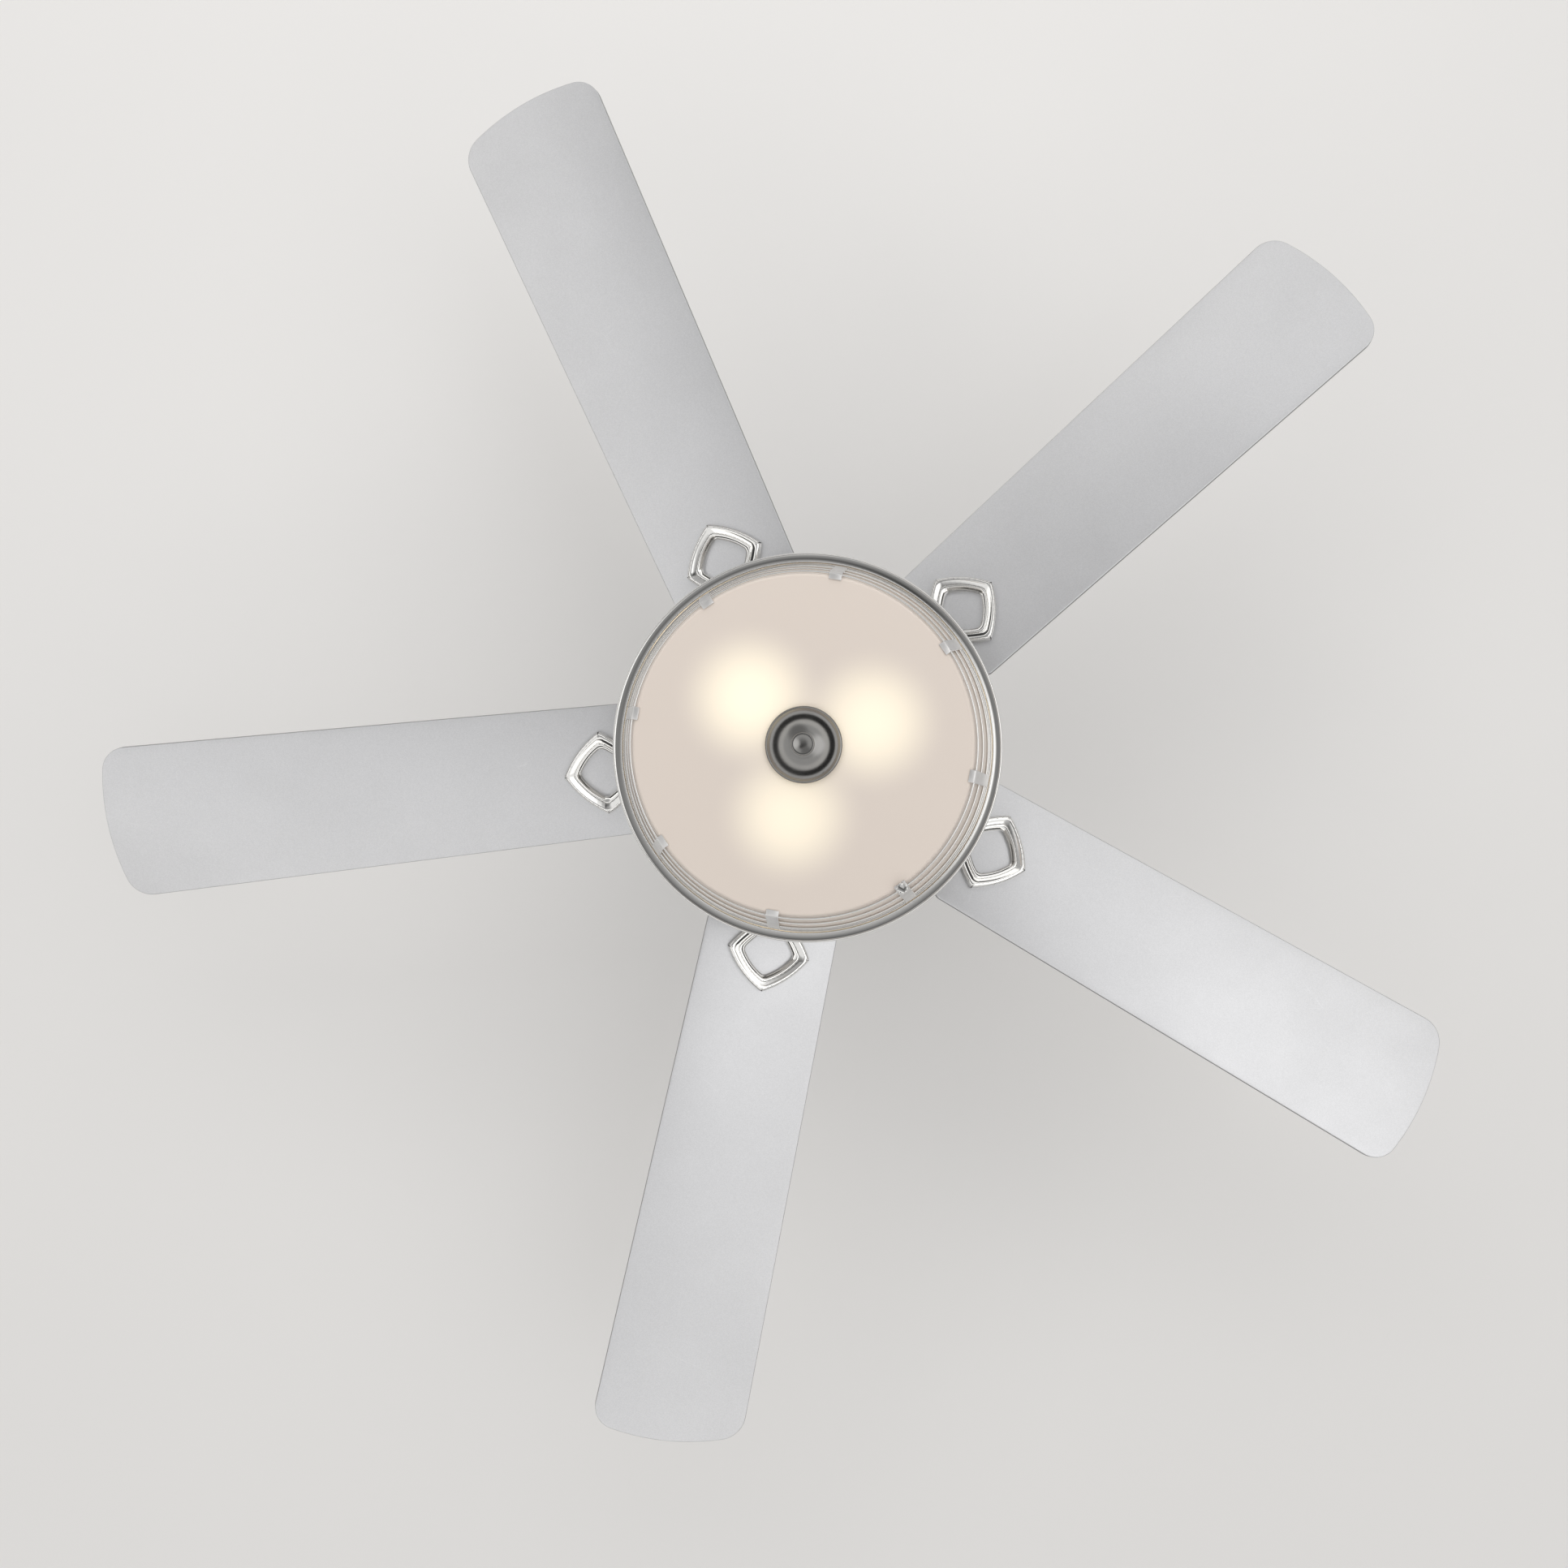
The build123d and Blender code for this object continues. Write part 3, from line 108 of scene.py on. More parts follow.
class MetalSettings(PropertyGroup):
    """Finish of the bright metal."""

    plating: FloatVectorProperty(
        name="Plating", description="Colour of the polished plating", default=(0.80, 0.79, 0.77),
        subtype="COLOR")
    polish: FloatProperty(
        name="Polish", description="Roughness of clean plating", default=0.045, min=0.0, max=1.0,
        subtype="FACTOR")
    rim_bead: FloatProperty(
        name="Rim bead", description="Radius of the rolled rim of the light pan", default=1.5 * MM,
        unit="LENGTH",
        precision=4)
    turned_steps: IntProperty(
        name="Turned steps", description="Facets round each turned piece", default=192, min=48, max=512)


class LightSettings(PropertyGroup):
    """Glass and lamps of the light."""

    glass_tint: FloatVectorProperty(
        name="Glass tint", description="Colour of the frosted glass", default=(0.64, 0.565, 0.505),
        subtype="COLOR")
    glow_tint: FloatVectorProperty(
        name="Glow tint", description="Colour where a lamp shines through", default=(1.0, 0.88, 0.62),
        subtype="COLOR")
    glow: FloatProperty(
        name="Glow", description="Strength of the lamps behind the glass", default=0.55, min=0.0, max=20.0)
    glass_floor_radius: FloatProperty(
        name="Glass floor radius", description="Radius of the shade at its floor", default=139.9 * MM,
        unit="LENGTH", precision=4)
    glass_wall: FloatProperty(
        name="Glass wall", description="Thickness of the shade", default=3.5 * MM, unit="LENGTH", precision=4)
    strap_angle: FloatProperty(
        name="First strap", description="Direction of the cage's first strap", default=math.radians(10.6),
        unit="ROTATION", subtype="ANGLE")
    strap_count: IntProperty(name="Straps", description="Number of the cage's straps", default=8, min=3,
                             max=16)
    clamp_index: IntProperty(
        name="Clamp strap", description="Which strap carries the thumb screw", default=1, min=0, max=15)


class StageSettings(PropertyGroup):
    """Camera and studio."""

    camera_drop: FloatProperty(
        name="Camera drop", description="From the blades down to the camera", default=1.27, unit="LENGTH")
    camera_place: FloatVectorProperty(
        name="Camera place", description="Where the camera stands beside the rod's axis",
        default=(0.040, 0.030),
        size=2, subtype="TRANSLATION", unit="LENGTH")
    lens: FloatProperty(name="Lens", description="Focal length of the camera", default=31.15)
    ceiling: FloatVectorProperty(
        name="Ceiling", description="Colour of the ceiling", default=(0.56, 0.55, 0.54), subtype="COLOR")
    ceiling_lift: FloatProperty(
        name="Ceiling lift", description="Light that the ceiling adds to soften the shadow on it",
        default=0.19,
        min=0.0, max=2.0)


# ---------------------------------------------------------------- modelling helpers
def deselect():
    """Leaves object mode active with nothing selected."""
    if bpy.context.object and bpy.context.object.mode != "OBJECT":
        bpy.ops.object.mode_set(mode="OBJECT")
    bpy.ops.object.select_all(action="DESELECT")


def activate(piece):
    """Selects one piece alone."""
    deselect()
    piece.select_set(True)
    bpy.context.view_layer.objects.active = piece


def settle(piece):
    """Moves a piece's place into its mesh."""
    activate(piece)
    bpy.ops.object.transform_apply(location=True, rotation=True, scale=True)
    return piece


def draw_line(name, points, closed=False):
    """Starts a piece from one point and extrudes it along the others; leaves edit mode on."""
    deselect()
    first = Vector(points[0])
    bpy.ops.mesh.primitive_plane_add(size=0.01, location=first)
    piece = bpy.context.object
    piece.name = name
    settle(piece)
    bpy.ops.object.mode_set(mode="EDIT")
    bpy.ops.mesh.select_mode(type="VERT")
    bpy.ops.mesh.select_all(action="SELECT")
    bpy.ops.mesh.merge(type="CENTER")
    last = first
    for point in points[1:]:
        step = Vector(point) - last
        bpy.ops.mesh.extrude_vertices_move(TRANSFORM_OT_translate={"value": step})
        last = Vector(point)
    bpy.ops.mesh.select_all(action="SELECT")
    if closed:
        bpy.ops.mesh.edge_face_add()
    return piece


def arc(centre, radius, start, end, steps):
    """Points of an arc in the plane of two coordinates, angles in degrees."""
    spots = []
    for i in range(steps + 1):
        turn = math.radians(start + (end - start) * i / steps)
        spots.append((centre[0] + radius * math.cos(turn), centre[1] + radius * math.sin(turn)))
    return spots


def bezier(p0, p1, p2, p3, steps):
    """Points along a smooth curve from p0 to p3, leaving towards p1 and arriving from p2."""
    spots = []
    for i in range(steps + 1):
        t = i / steps
        a, b, c, d = (1 - t) ** 3, 3 * t * (1 - t) ** 2, 3 * t * t * (1 - t), t ** 3
        spots.append((a * p0[0] + b * p1[0] + c * p2[0] + d * p3[0],
                      a * p0[1] + b * p1[1] + c * p2[1] + d * p3[1]))
    return spots


def pick(piece, kind, chosen):
    """Selects only the faces or edges that a test chooses; leaves edit mode on."""
    activate(piece)
    bpy.ops.object.mode_set(mode="EDIT")
    bpy.ops.mesh.select_mode(type=kind)
    bpy.ops.mesh.select_all(action="DESELECT")
    bpy.ops.object.mode_set(mode="OBJECT")
    for element in piece.data.polygons if kind == "FACE" else piece.data.edges:
        element.select = chosen(element)
    bpy.ops.object.mode_set(mode="EDIT")


def enclosed(piece):
    """Space that a closed piece encloses, negative if its faces point inwards."""
    spots = [point.co for point in piece.data.vertices]
    piece.data.calc_loop_triangles()
    corners = (triangle.vertices for triangle in piece.data.loop_triangles)
    return sum(spots[a].dot(spots[b].cross(spots[c])) for a, b, c in corners) / 6


def close_up(piece):
    """Merges doubled points, drops loose edges and turns the faces outwards; leaves object mode on."""
    activate(piece)
    bpy.ops.object.mode_set(mode="EDIT")
    bpy.ops.mesh.select_all(action="SELECT")
    bpy.ops.mesh.remove_doubles(threshold=0.00001)
    bpy.ops.mesh.delete_loose(use_verts=True, use_edges=True, use_faces=False)
    bpy.ops.mesh.select_all(action="SELECT")
    bpy.ops.mesh.normals_make_consistent(inside=False)
    bpy.ops.object.mode_set(mode="OBJECT")
    if enclosed(piece) < 0:
        bpy.ops.object.mode_set(mode="EDIT")
        bpy.ops.mesh.select_all(action="SELECT")
        bpy.ops.mesh.flip_normals()
        bpy.ops.object.mode_set(mode="OBJECT")
    return piece


def soften(piece, width=0.0004, segments=2, angle=35):
    """Rounds a piece's sharp edges and shades it smooth."""
    activate(piece)
    if width:
        bevel = piece.modifiers.new("rounding", "BEVEL")
        bevel.width = width
        bevel.segments = segments
        bevel.limit_method = "ANGLE"
        bevel.angle_limit = math.radians(angle)
        bevel.harden_normals = False
        bpy.ops.object.modifier_apply(modifier=bevel.name)
    bpy.ops.object.shade_smooth_by_angle(angle=math.radians(angle))
    return piece


def turn_profile(name, profile, steps=None, soft=0.0004):
    """Turns a closed (radius, height) profile about the rod's axis."""
    steps = steps or bpy.context.scene.fan_metal.turned_steps
    spots = [(radius, 0, height) for radius, height in profile]
    piece = draw_line(name, spots + spots[:1])
    bpy.ops.mesh.spin(steps=steps, angle=TURN, center=(0, 0, 0), axis=(0, 0, 1))
    close_up(piece)
    return soften(piece, soft)


def copy_of(piece, name):
    """Copy of a piece with its own mesh."""
    twin = piece.copy()
    twin.data = piece.data.copy()
    twin.name = name
    bpy.context.scene.collection.objects.link(twin)
    return twin


def join(pieces, name):
    """Joins pieces into one."""
    deselect()
    for piece in pieces:
        piece.select_set(True)
    bpy.context.view_layer.objects.active = pieces[0]
    bpy.ops.object.join()
    pieces[0].name = name
    return pieces[0]


def smooth_copy(node):
    """Merged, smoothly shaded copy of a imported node."""
    piece = copy_of(frame["nodes"][node], node + "_finish")
    piece.parent = None
    for key in list(piece.keys()):
        del piece[key]
    activate(piece)
    bpy.ops.object.mode_set(mode="EDIT")
    bpy.ops.mesh.select_all(action="SELECT")
    bpy.ops.mesh.remove_doubles(threshold=0.00001)
    bpy.ops.object.mode_set(mode="OBJECT")
    bpy.ops.object.shade_smooth_by_angle(angle=math.radians(30))
    return piece


def hand_over(piece, body, slot, material, *nodes):
    """Gives a finished piece its material and its body, and hides the nodes it stands for."""
    piece.data.materials.clear()
    piece.data.materials.append(material)
    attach(piece, body)
    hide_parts(*nodes)
    return piece


# ---------------------------------------------------------------- shader helpers
def place(tree, kind, **values):
    """Adds a node; each value sets a property of it, or an input named with _ for a space."""
    node = tree.nodes.new(kind)
    for key, value in values.items():
        if hasattr(node, key):
            setattr(node, key, value)
        else:
            node.inputs[key.replace("_", " ")].default_value = value
    return node


def wire(tree, source, output, target, field):
    """Joins an output to an input."""
    tree.links.new(source.outputs[output], target.inputs[field])


def new_group(name, fields, results):
    """Empty node group with number inputs and outputs; returns (group, its input node, its output node)."""
    group = bpy.data.node_groups.new(name, "ShaderNodeTree")
    for field, default in fields.items():
        socket = group.interface.new_socket(field, in_out="INPUT", socket_type="NodeSocketFloat")
        socket.default_value = default
    for result in results:
        group.interface.new_socket(result, in_out="OUTPUT", socket_type="NodeSocketFloat")
    return group, group.nodes.new("NodeGroupInput"), group.nodes.new("NodeGroupOutput")


def mottle_group():
    """Soft uneven patches between a low and a high value."""
    group, into, out = new_group("mottle", {"Scale": 8.0, "Low": 0.0, "High": 1.0}, ["Value"])
    spot = place(group, "ShaderNodeTexCoord")
    noise = place(group, "ShaderNodeTexNoise", Detail=5.0, Roughness=0.6)
    span = place(group, "ShaderNodeMapRange", interpolation_type="SMOOTHSTEP", From_Min=0.32, From_Max=0.68)
    wire(group, spot, "Object", noise, "Vector")
    wire(group, into, "Scale", noise, "Scale")
    wire(group, noise, "Fac", span, "Value")
    wire(group, into, "Low", span, "To Min")
    wire(group, into, "High", span, "To Max")
    wire(group, span, "Result", out, "Value")
    return group


def speckle_group():
    """Fine cells, each with its own value."""
    group, into, out = new_group("speckle", {"Scale": 900.0, "Spread": 1.0}, ["Value", "Height"])
    spot = place(group, "ShaderNodeTexCoord")
    cells = place(group, "ShaderNodeTexVoronoi", feature="F1")
    parts = place(group, "ShaderNodeSeparateColor")
    fade = place(group, "ShaderNodeMath", operation="MULTIPLY")
    wire(group, spot, "Object", cells, "Vector")
    wire(group, into, "Scale", cells, "Scale")
    wire(group, cells, "Color", parts, "Color")
    wire(group, parts, "Red", fade, 0)
    wire(group, into, "Spread", fade, 1)
    wire(group, fade, "Value", out, "Value")
    wire(group, cells, "Distance", out, "Height")
    return group


def dust_group():
    """Dust that settles on what faces up."""
    group, into, out = new_group("settled_dust", {"Amount": 0.5, "Scale": 30.0}, ["Mask"])
    spot = place(group, "ShaderNodeTexCoord")
    shape = place(group, "ShaderNodeNewGeometry")
    split = place(group, "ShaderNodeSeparateXYZ")
    upward = place(group, "ShaderNodeMapRange", From_Min=0.55, From_Max=0.98)
    noise = place(group, "ShaderNodeTexNoise", Detail=8.0, Roughness=0.7)
    patch = place(group, "ShaderNodeMapRange", From_Min=0.35, From_Max=0.75, To_Min=0.35)
    both = place(group, "ShaderNodeMath", operation="MULTIPLY")
    full = place(group, "ShaderNodeMath", operation="MULTIPLY")
    wire(group, shape, "Normal", split, "Vector")
    wire(group, split, "Z", upward, "Value")
    wire(group, spot, "Object", noise, "Vector")
    wire(group, into, "Scale", noise, "Scale")
    wire(group, noise, "Fac", patch, "Value")
    wire(group, upward, "Result", both, 0)
    wire(group, patch, "Result", both, 1)
    wire(group, both, "Value", full, 0)
    wire(group, into, "Amount", full, 1)
    wire(group, full, "Value", out, "Mask")
    return group


def hairline_group():
    """Sparse hairline scratches."""
    group, into, out = new_group("hairlines", {"Scale": 25.0, "Width": 0.006, "Amount": 0.5}, ["Mask"])
    spot = place(group, "ShaderNodeTexCoord")
    bend = place(group, "ShaderNodeTexNoise", Scale=6.0, Detail=1.0)
    mixed = place(group, "ShaderNodeVectorMath", operation="MULTIPLY_ADD")
    mixed.inputs[1].default_value = (0.15, 0.15, 0.15)
    cracks = place(group, "ShaderNodeTexVoronoi", feature="DISTANCE_TO_EDGE")
    line = place(group, "ShaderNodeMapRange", From_Min=0.0, To_Min=1.0, To_Max=0.0)
    breaks = place(group, "ShaderNodeTexNoise", Scale=40.0, Detail=2.0)
    gaps = place(group, "ShaderNodeMapRange", From_Min=0.52, From_Max=0.6)
    both = place(group, "ShaderNodeMath", operation="MULTIPLY")
    full = place(group, "ShaderNodeMath", operation="MULTIPLY")
    wire(group, spot, "Object", bend, "Vector")
    wire(group, bend, "Color", mixed, 0)
    wire(group, spot, "Object", mixed, 2)
    wire(group, mixed, "Vector", cracks, "Vector")
    wire(group, into, "Scale", cracks, "Scale")
    wire(group, cracks, "Distance", line, "Value")
    wire(group, into, "Width", line, "From Max")
    wire(group, spot, "Object", breaks, "Vector")
    wire(group, breaks, "Fac", gaps, "Value")
    wire(group, line, "Result", both, 0)
    wire(group, gaps, "Result", both, 1)
    wire(group, both, "Value", full, 0)
    wire(group, into, "Amount", full, 1)
    wire(group, full, "Value", out, "Mask")
    return group


def group_node(tree, name, **values):
    """Places a shared group in a material; the group is made the first time it is wanted."""
    makers = {"mottle": mottle_group, "speckle": speckle_group, "settled_dust": dust_group,
              "hairlines": hairline_group}
    group = bpy.data.node_groups.get(name) or makers[name]()
    node = tree.nodes.new("ShaderNodeGroup")
    node.node_tree = group
    for key, value in values.items():
        node.inputs[key].default_value = value
    return node


def start_material(name):
    """New material; returns (material, tree, its Principled node)."""
    material = bpy.data.materials.new(name)
    material.use_nodes = True
    tree = material.node_tree
    return material, tree, tree.nodes["Principled BSDF"]


def tint(tree, mask, output, base, top):
    """Mixes two colours by a mask; returns the mix node."""
    mix = place(tree, "ShaderNodeMix", data_type="RGBA")
    mix.inputs[6].default_value = (*base, 1)
    mix.inputs[7].default_value = (*top, 1)
    wire(tree, mask, output, mix, 0)
    return mix


def over(tree, under, mask, output, top):
    """Lays a colour over a mix node's colour by a mask; returns the new mix node."""
    mix = tint(tree, mask, output, (0, 0, 0), top)
    tree.links.new(under.outputs[2], mix.inputs[6])
    return mix


def add_bump(tree, shader, source, output, strength, distance):
    """Raises a shader's surface by a value."""
    bump = place(tree, "ShaderNodeBump", Strength=strength, Distance=distance)
    wire(tree, source, output, bump, "Height")
    wire(tree, bump, "Normal", shader, "Normal")


DUST = (0.46, 0.44, 0.41)


def metal(name, light, dark, roughness, patch=12.0, grain=0.0, grain_scale=700.0, dust=0.25, scratch=0.25):
    """Metal with smudged polish, hairlines and settled dust; roughness is a (low, high) pair."""
    material, tree, shader = start_material(name)
    shader.inputs["Metallic"].default_value = 1.0
    smudge = group_node(tree, "mottle", Scale=patch, Low=0.0, High=1.0)
    rough = group_node(tree, "mottle", Scale=patch * 1.7, Low=roughness[0], High=roughness[1])
    lines = group_node(tree, "hairlines", Scale=22.0, Amount=scratch)
    settled = group_node(tree, "settled_dust", Amount=dust)
    worn = place(tree, "ShaderNodeMath", operation="MULTIPLY_ADD")
    worn.inputs[1].default_value = 0.25
    wire(tree, lines, "Mask", worn, 0)
    wire(tree, rough, "Value", worn, 2)
    dulled = place(tree, "ShaderNodeMath", operation="ADD", use_clamp=True)
    wire(tree, worn, "Value", dulled, 0)
    wire(tree, settled, "Mask", dulled, 1)
    wire(tree, dulled, "Value", shader, "Roughness")
    colour = over(tree, tint(tree, smudge, "Value", light, dark), settled, "Mask", DUST)
    tree.links.new(colour.outputs[2], shader.inputs["Base Color"])
    if grain:
        cells = group_node(tree, "speckle", Scale=grain_scale, Spread=1.0)
        add_bump(tree, shader, cells, "Height", grain, 0.0002)
    return material


def chrome():
    """Polished plating."""
    settings = bpy.context.scene.fan_metal
    light = tuple(settings.plating)
    return metal("chrome", light, tuple(0.94 * c for c in light), (settings.polish, settings.polish + 0.035),
                 patch=9.0, dust=0.3, scratch=0.12)


def silver_lacquer():
    """Satin lacquer with metal flakes, over a smooth board, with painted shade on its edges."""
    material, tree, shader = start_material("silver_lacquer")
    base = tuple(bpy.context.scene.fan_blades.lacquer)
    shader.inputs["Metallic"].default_value = 0.70
    shader.inputs["Coat Roughness"].default_value = 0.35
    shader.inputs["Coat Weight"].default_value = 0.15
    flakes = group_node(tree, "speckle", Scale=1500.0, Spread=1.0)
    clouds = group_node(tree, "mottle", Scale=5.0, Low=0.0, High=0.35)
    mixed = place(tree, "ShaderNodeMath", operation="MULTIPLY_ADD")
    mixed.inputs[1].default_value = 0.65
    wire(tree, flakes, "Value", mixed, 0)
    wire(tree, clouds, "Value", mixed, 2)
    settled = group_node(tree, "settled_dust", Amount=0.35, Scale=14.0)
    lines = group_node(tree, "hairlines", Scale=9.0, Width=0.0025, Amount=0.35)
    colour = tint(tree, mixed, "Value", tuple(0.93 * c for c in base),
                  tuple(min(1.0, 1.06 * c) for c in base))
    colour = over(tree, colour, lines, "Mask", tuple(min(1.0, 1.2 * c) for c in base))
    colour = over(tree, colour, settled, "Mask", DUST)
    # Painted shade: where the surface turns sideways, on the board's edges, the colour is darkened towards dark
    # grey.
    shape = place(tree, "ShaderNodeNewGeometry")
    split = place(tree, "ShaderNodeSeparateXYZ")
    level = place(tree, "ShaderNodeMath", operation="ABSOLUTE")
    edge = place(tree, "ShaderNodeMapRange", From_Min=0.45, From_Max=0.80, To_Min=1.0, To_Max=0.0)
    wire(tree, shape, "Normal", split, "Vector")
    wire(tree, split, "Z", level, 0)
    wire(tree, level, "Value", edge, "Value")
    colour = over(tree, colour, edge, "Result", (0.22, 0.22, 0.22))
    tree.links.new(colour.outputs[2], shader.inputs["Base Color"])
    rough = group_node(tree, "mottle", Scale=7.0, Low=0.33, High=0.39)
    wire(tree, rough, "Value", shader, "Roughness")
    add_bump(tree, shader, flakes, "Value", 0.05, 0.0001)
    return material


def satin_paint():
    """Silver paint on spun steel, with a little orange peel."""
    material, tree, shader = start_material("silver_paint")
    shader.inputs["Metallic"].default_value = 0.7
    shader.inputs["Coat Roughness"].default_value = 0.2
    shader.inputs["Coat Weight"].default_value = 0.3
    flakes = group_node(tree, "speckle", Scale=1400.0, Spread=1.0)
    peel = group_node(tree, "mottle", Scale=220.0, Low=0.0, High=1.0)
    settled = group_node(tree, "settled_dust", Amount=0.6, Scale=20.0)
    colour = tint(tree, flakes, "Value", (0.50, 0.50, 0.51), (0.60, 0.60, 0.60))
    colour = over(tree, colour, settled, "Mask", DUST)
    tree.links.new(colour.outputs[2], shader.inputs["Base Color"])
    rough = group_node(tree, "mottle", Scale=16.0, Low=0.3, High=0.4)
    wire(tree, rough, "Value", shader, "Roughness")
    add_bump(tree, shader, peel, "Value", 0.12, 0.0003)
    return material


def moulded(name, light, dark, roughness=(0.4, 0.55), grain_scale=900.0, grain=0.15, dust=0.4):
    """Moulded plastic, rubber, ceramic or enamel, with a fine grain."""
    material, tree, shader = start_material(name)
    patches = group_node(tree, "mottle", Scale=24.0, Low=0.0, High=1.0)
    cells = group_node(tree, "speckle", Scale=grain_scale, Spread=1.0)
    settled = group_node(tree, "settled_dust", Amount=dust)
    colour = over(tree, tint(tree, patches, "Value", light, dark), settled, "Mask", DUST)
    tree.links.new(colour.outputs[2], shader.inputs["Base Color"])
    rough = group_node(tree, "mottle", Scale=30.0, Low=roughness[0], High=roughness[1])
    wire(tree, rough, "Value", shader, "Roughness")
    add_bump(tree, shader, cells, "Height", grain, 0.0002)
    return material


def layered(name, light, dark, pitch, axis, metallic, roughness):
    """Stacked sheets or laid wire: fine bands along one axis."""
    material, tree, shader = start_material(name)
    shader.inputs["Metallic"].default_value = metallic
    spot = place(tree, "ShaderNodeTexCoord")
    bands = place(tree, "ShaderNodeTexWave", bands_direction=axis, Scale=TURN / pitch / 20, Distortion=0.4,
                  Detail=1.0)
    wire(tree, spot, "Object", bands, "Vector")
    colour = tint(tree, bands, "Fac", dark, light)
    tree.links.new(colour.outputs[2], shader.inputs["Base Color"])
    rough = group_node(tree, "mottle", Scale=40.0, Low=roughness, High=roughness + 0.12)
    wire(tree, rough, "Value", shader, "Roughness")
    add_bump(tree, shader, bands, "Fac", 0.5, 0.0004)
    return material


def lamp_spots():
    """Middle of each lamp's globe."""
    spots = []
    for index in range(1, 4):
        low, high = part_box(f"bulb_{index}")
        pos, axis = lamp_axis(index)
        reach = ((low + high) / 2 - pos).dot(axis)
        spots.append(pos + axis * (reach + 9 * MM))
    return spots


def lamp_axis(index):
    """Where one lamp's axis starts, and its direction outwards."""
    joint = next(j for j in frame["joints"] if j["name"] == f"bulb_{index}_turn")
    return Vector(joint["pos_m"]), -Vector(joint["axis"]).normalized()


def frosted_glass():
    """Warm frosted glass with the lamps' glow painted on it as emission and a lighter colour round each lamp."""
    material, tree, shader = start_material("frosted_glass")
    settings = bpy.context.scene.fan_light
    shader.inputs["Transmission Weight"].default_value = 0.0
    shader.inputs["IOR"].default_value = 1.5
    shader.inputs["Coat Weight"].default_value = 0.25
    shader.inputs["Coat Roughness"].default_value = 0.3
    spot = place(tree, "ShaderNodeTexCoord")
    painted_glow_mask = None
    # Painted light: a soft spot round each lamp's globe, summed into one mask.
    for centre, gain in zip(lamp_spots(), (0.9, 0.85, 1.0)):
        away = place(tree, "ShaderNodeVectorMath", operation="DISTANCE")
        away.inputs[1].default_value = centre
        wire(tree, spot, "Object", away, 0)
        halo = place(tree, "ShaderNodeMapRange", interpolation_type="SMOOTHERSTEP", From_Min=0.024,
                     From_Max=0.078, To_Min=gain, To_Max=0.0)
        wire(tree, away, "Value", halo, "Value")
        if painted_glow_mask:
            summed = place(tree, "ShaderNodeMath", operation="ADD")
            wire(tree, painted_glow_mask, 0, summed, 0)
            wire(tree, halo, "Result", summed, 1)
            painted_glow_mask = summed
        else:
            painted_glow_mask = halo
    glass = tuple(settings.glass_tint)
    frost = group_node(tree, "mottle", Scale=60.0, Low=0.5, High=0.6)
    wire(tree, frost, "Value", shader, "Roughness")
    # Painted light: inside the spots round the lamps, the glass colour is lighter and it glows.
    base = tint(tree, painted_glow_mask, 0, glass, (0.66, 0.61, 0.52))
    tree.links.new(base.outputs[2], shader.inputs["Base Color"])
    glow = tint(tree, painted_glow_mask, 0, tuple(0.16 * c for c in glass), tuple(settings.glow_tint))
    tree.links.new(glow.outputs[2], shader.inputs["Emission Color"])
    shader.inputs["Emission Strength"].default_value = settings.glow
    etch = group_node(tree, "speckle", Scale=1600.0, Spread=1.0)
    add_bump(tree, shader, etch, "Height", 0.08, 0.0001)
    return material


def opal_glass():
    """Lit opal lamp, its colour and glow faintly mottled."""
    material, tree, shader = start_material("lamp_glass")
    shader.inputs["Roughness"].default_value = 0.25
    haze = group_node(tree, "mottle", Scale=30.0, Low=0.0, High=1.0)
    base = tint(tree, haze, "Value", (0.93, 0.90, 0.84), (0.88, 0.84, 0.77))
    tree.links.new(base.outputs[2], shader.inputs["Base Color"])
    glow = tint(tree, haze, "Value", (1.0, 0.86, 0.62), (1.0, 0.82, 0.55))
    tree.links.new(glow.outputs[2], shader.inputs["Emission Color"])
    shader.inputs["Emission Strength"].default_value = 2.2
    return material


def plaster():
    """Painted ceiling, seen only from below."""
    material, tree, shader = start_material("ceiling_paint")
    base = tuple(bpy.context.scene.fan_stage.ceiling)
    patches = group_node(tree, "mottle", Scale=1.3, Low=0.0, High=1.0)
    colour = tint(tree, patches, "Value", base, tuple(0.985 * c for c in base))
    tree.links.new(colour.outputs[2], shader.inputs["Base Color"])
    shader.inputs["Roughness"].default_value = 0.85
    shader.inputs["Emission Color"].default_value = (1.0, 0.985, 0.965, 1)
    shader.inputs["Emission Strength"].default_value = bpy.context.scene.fan_stage.ceiling_lift
    clear = place(tree, "ShaderNodeBsdfTransparent")
    side = place(tree, "ShaderNodeNewGeometry")
    mix = place(tree, "ShaderNodeMixShader")
    wire(tree, side, "Backfacing", mix, 0)
    wire(tree, shader, "BSDF", mix, 1)
    wire(tree, clear, "BSDF", mix, 2)
    wire(tree, mix, "Shader", tree.nodes["Material Output"], "Surface")
    return material


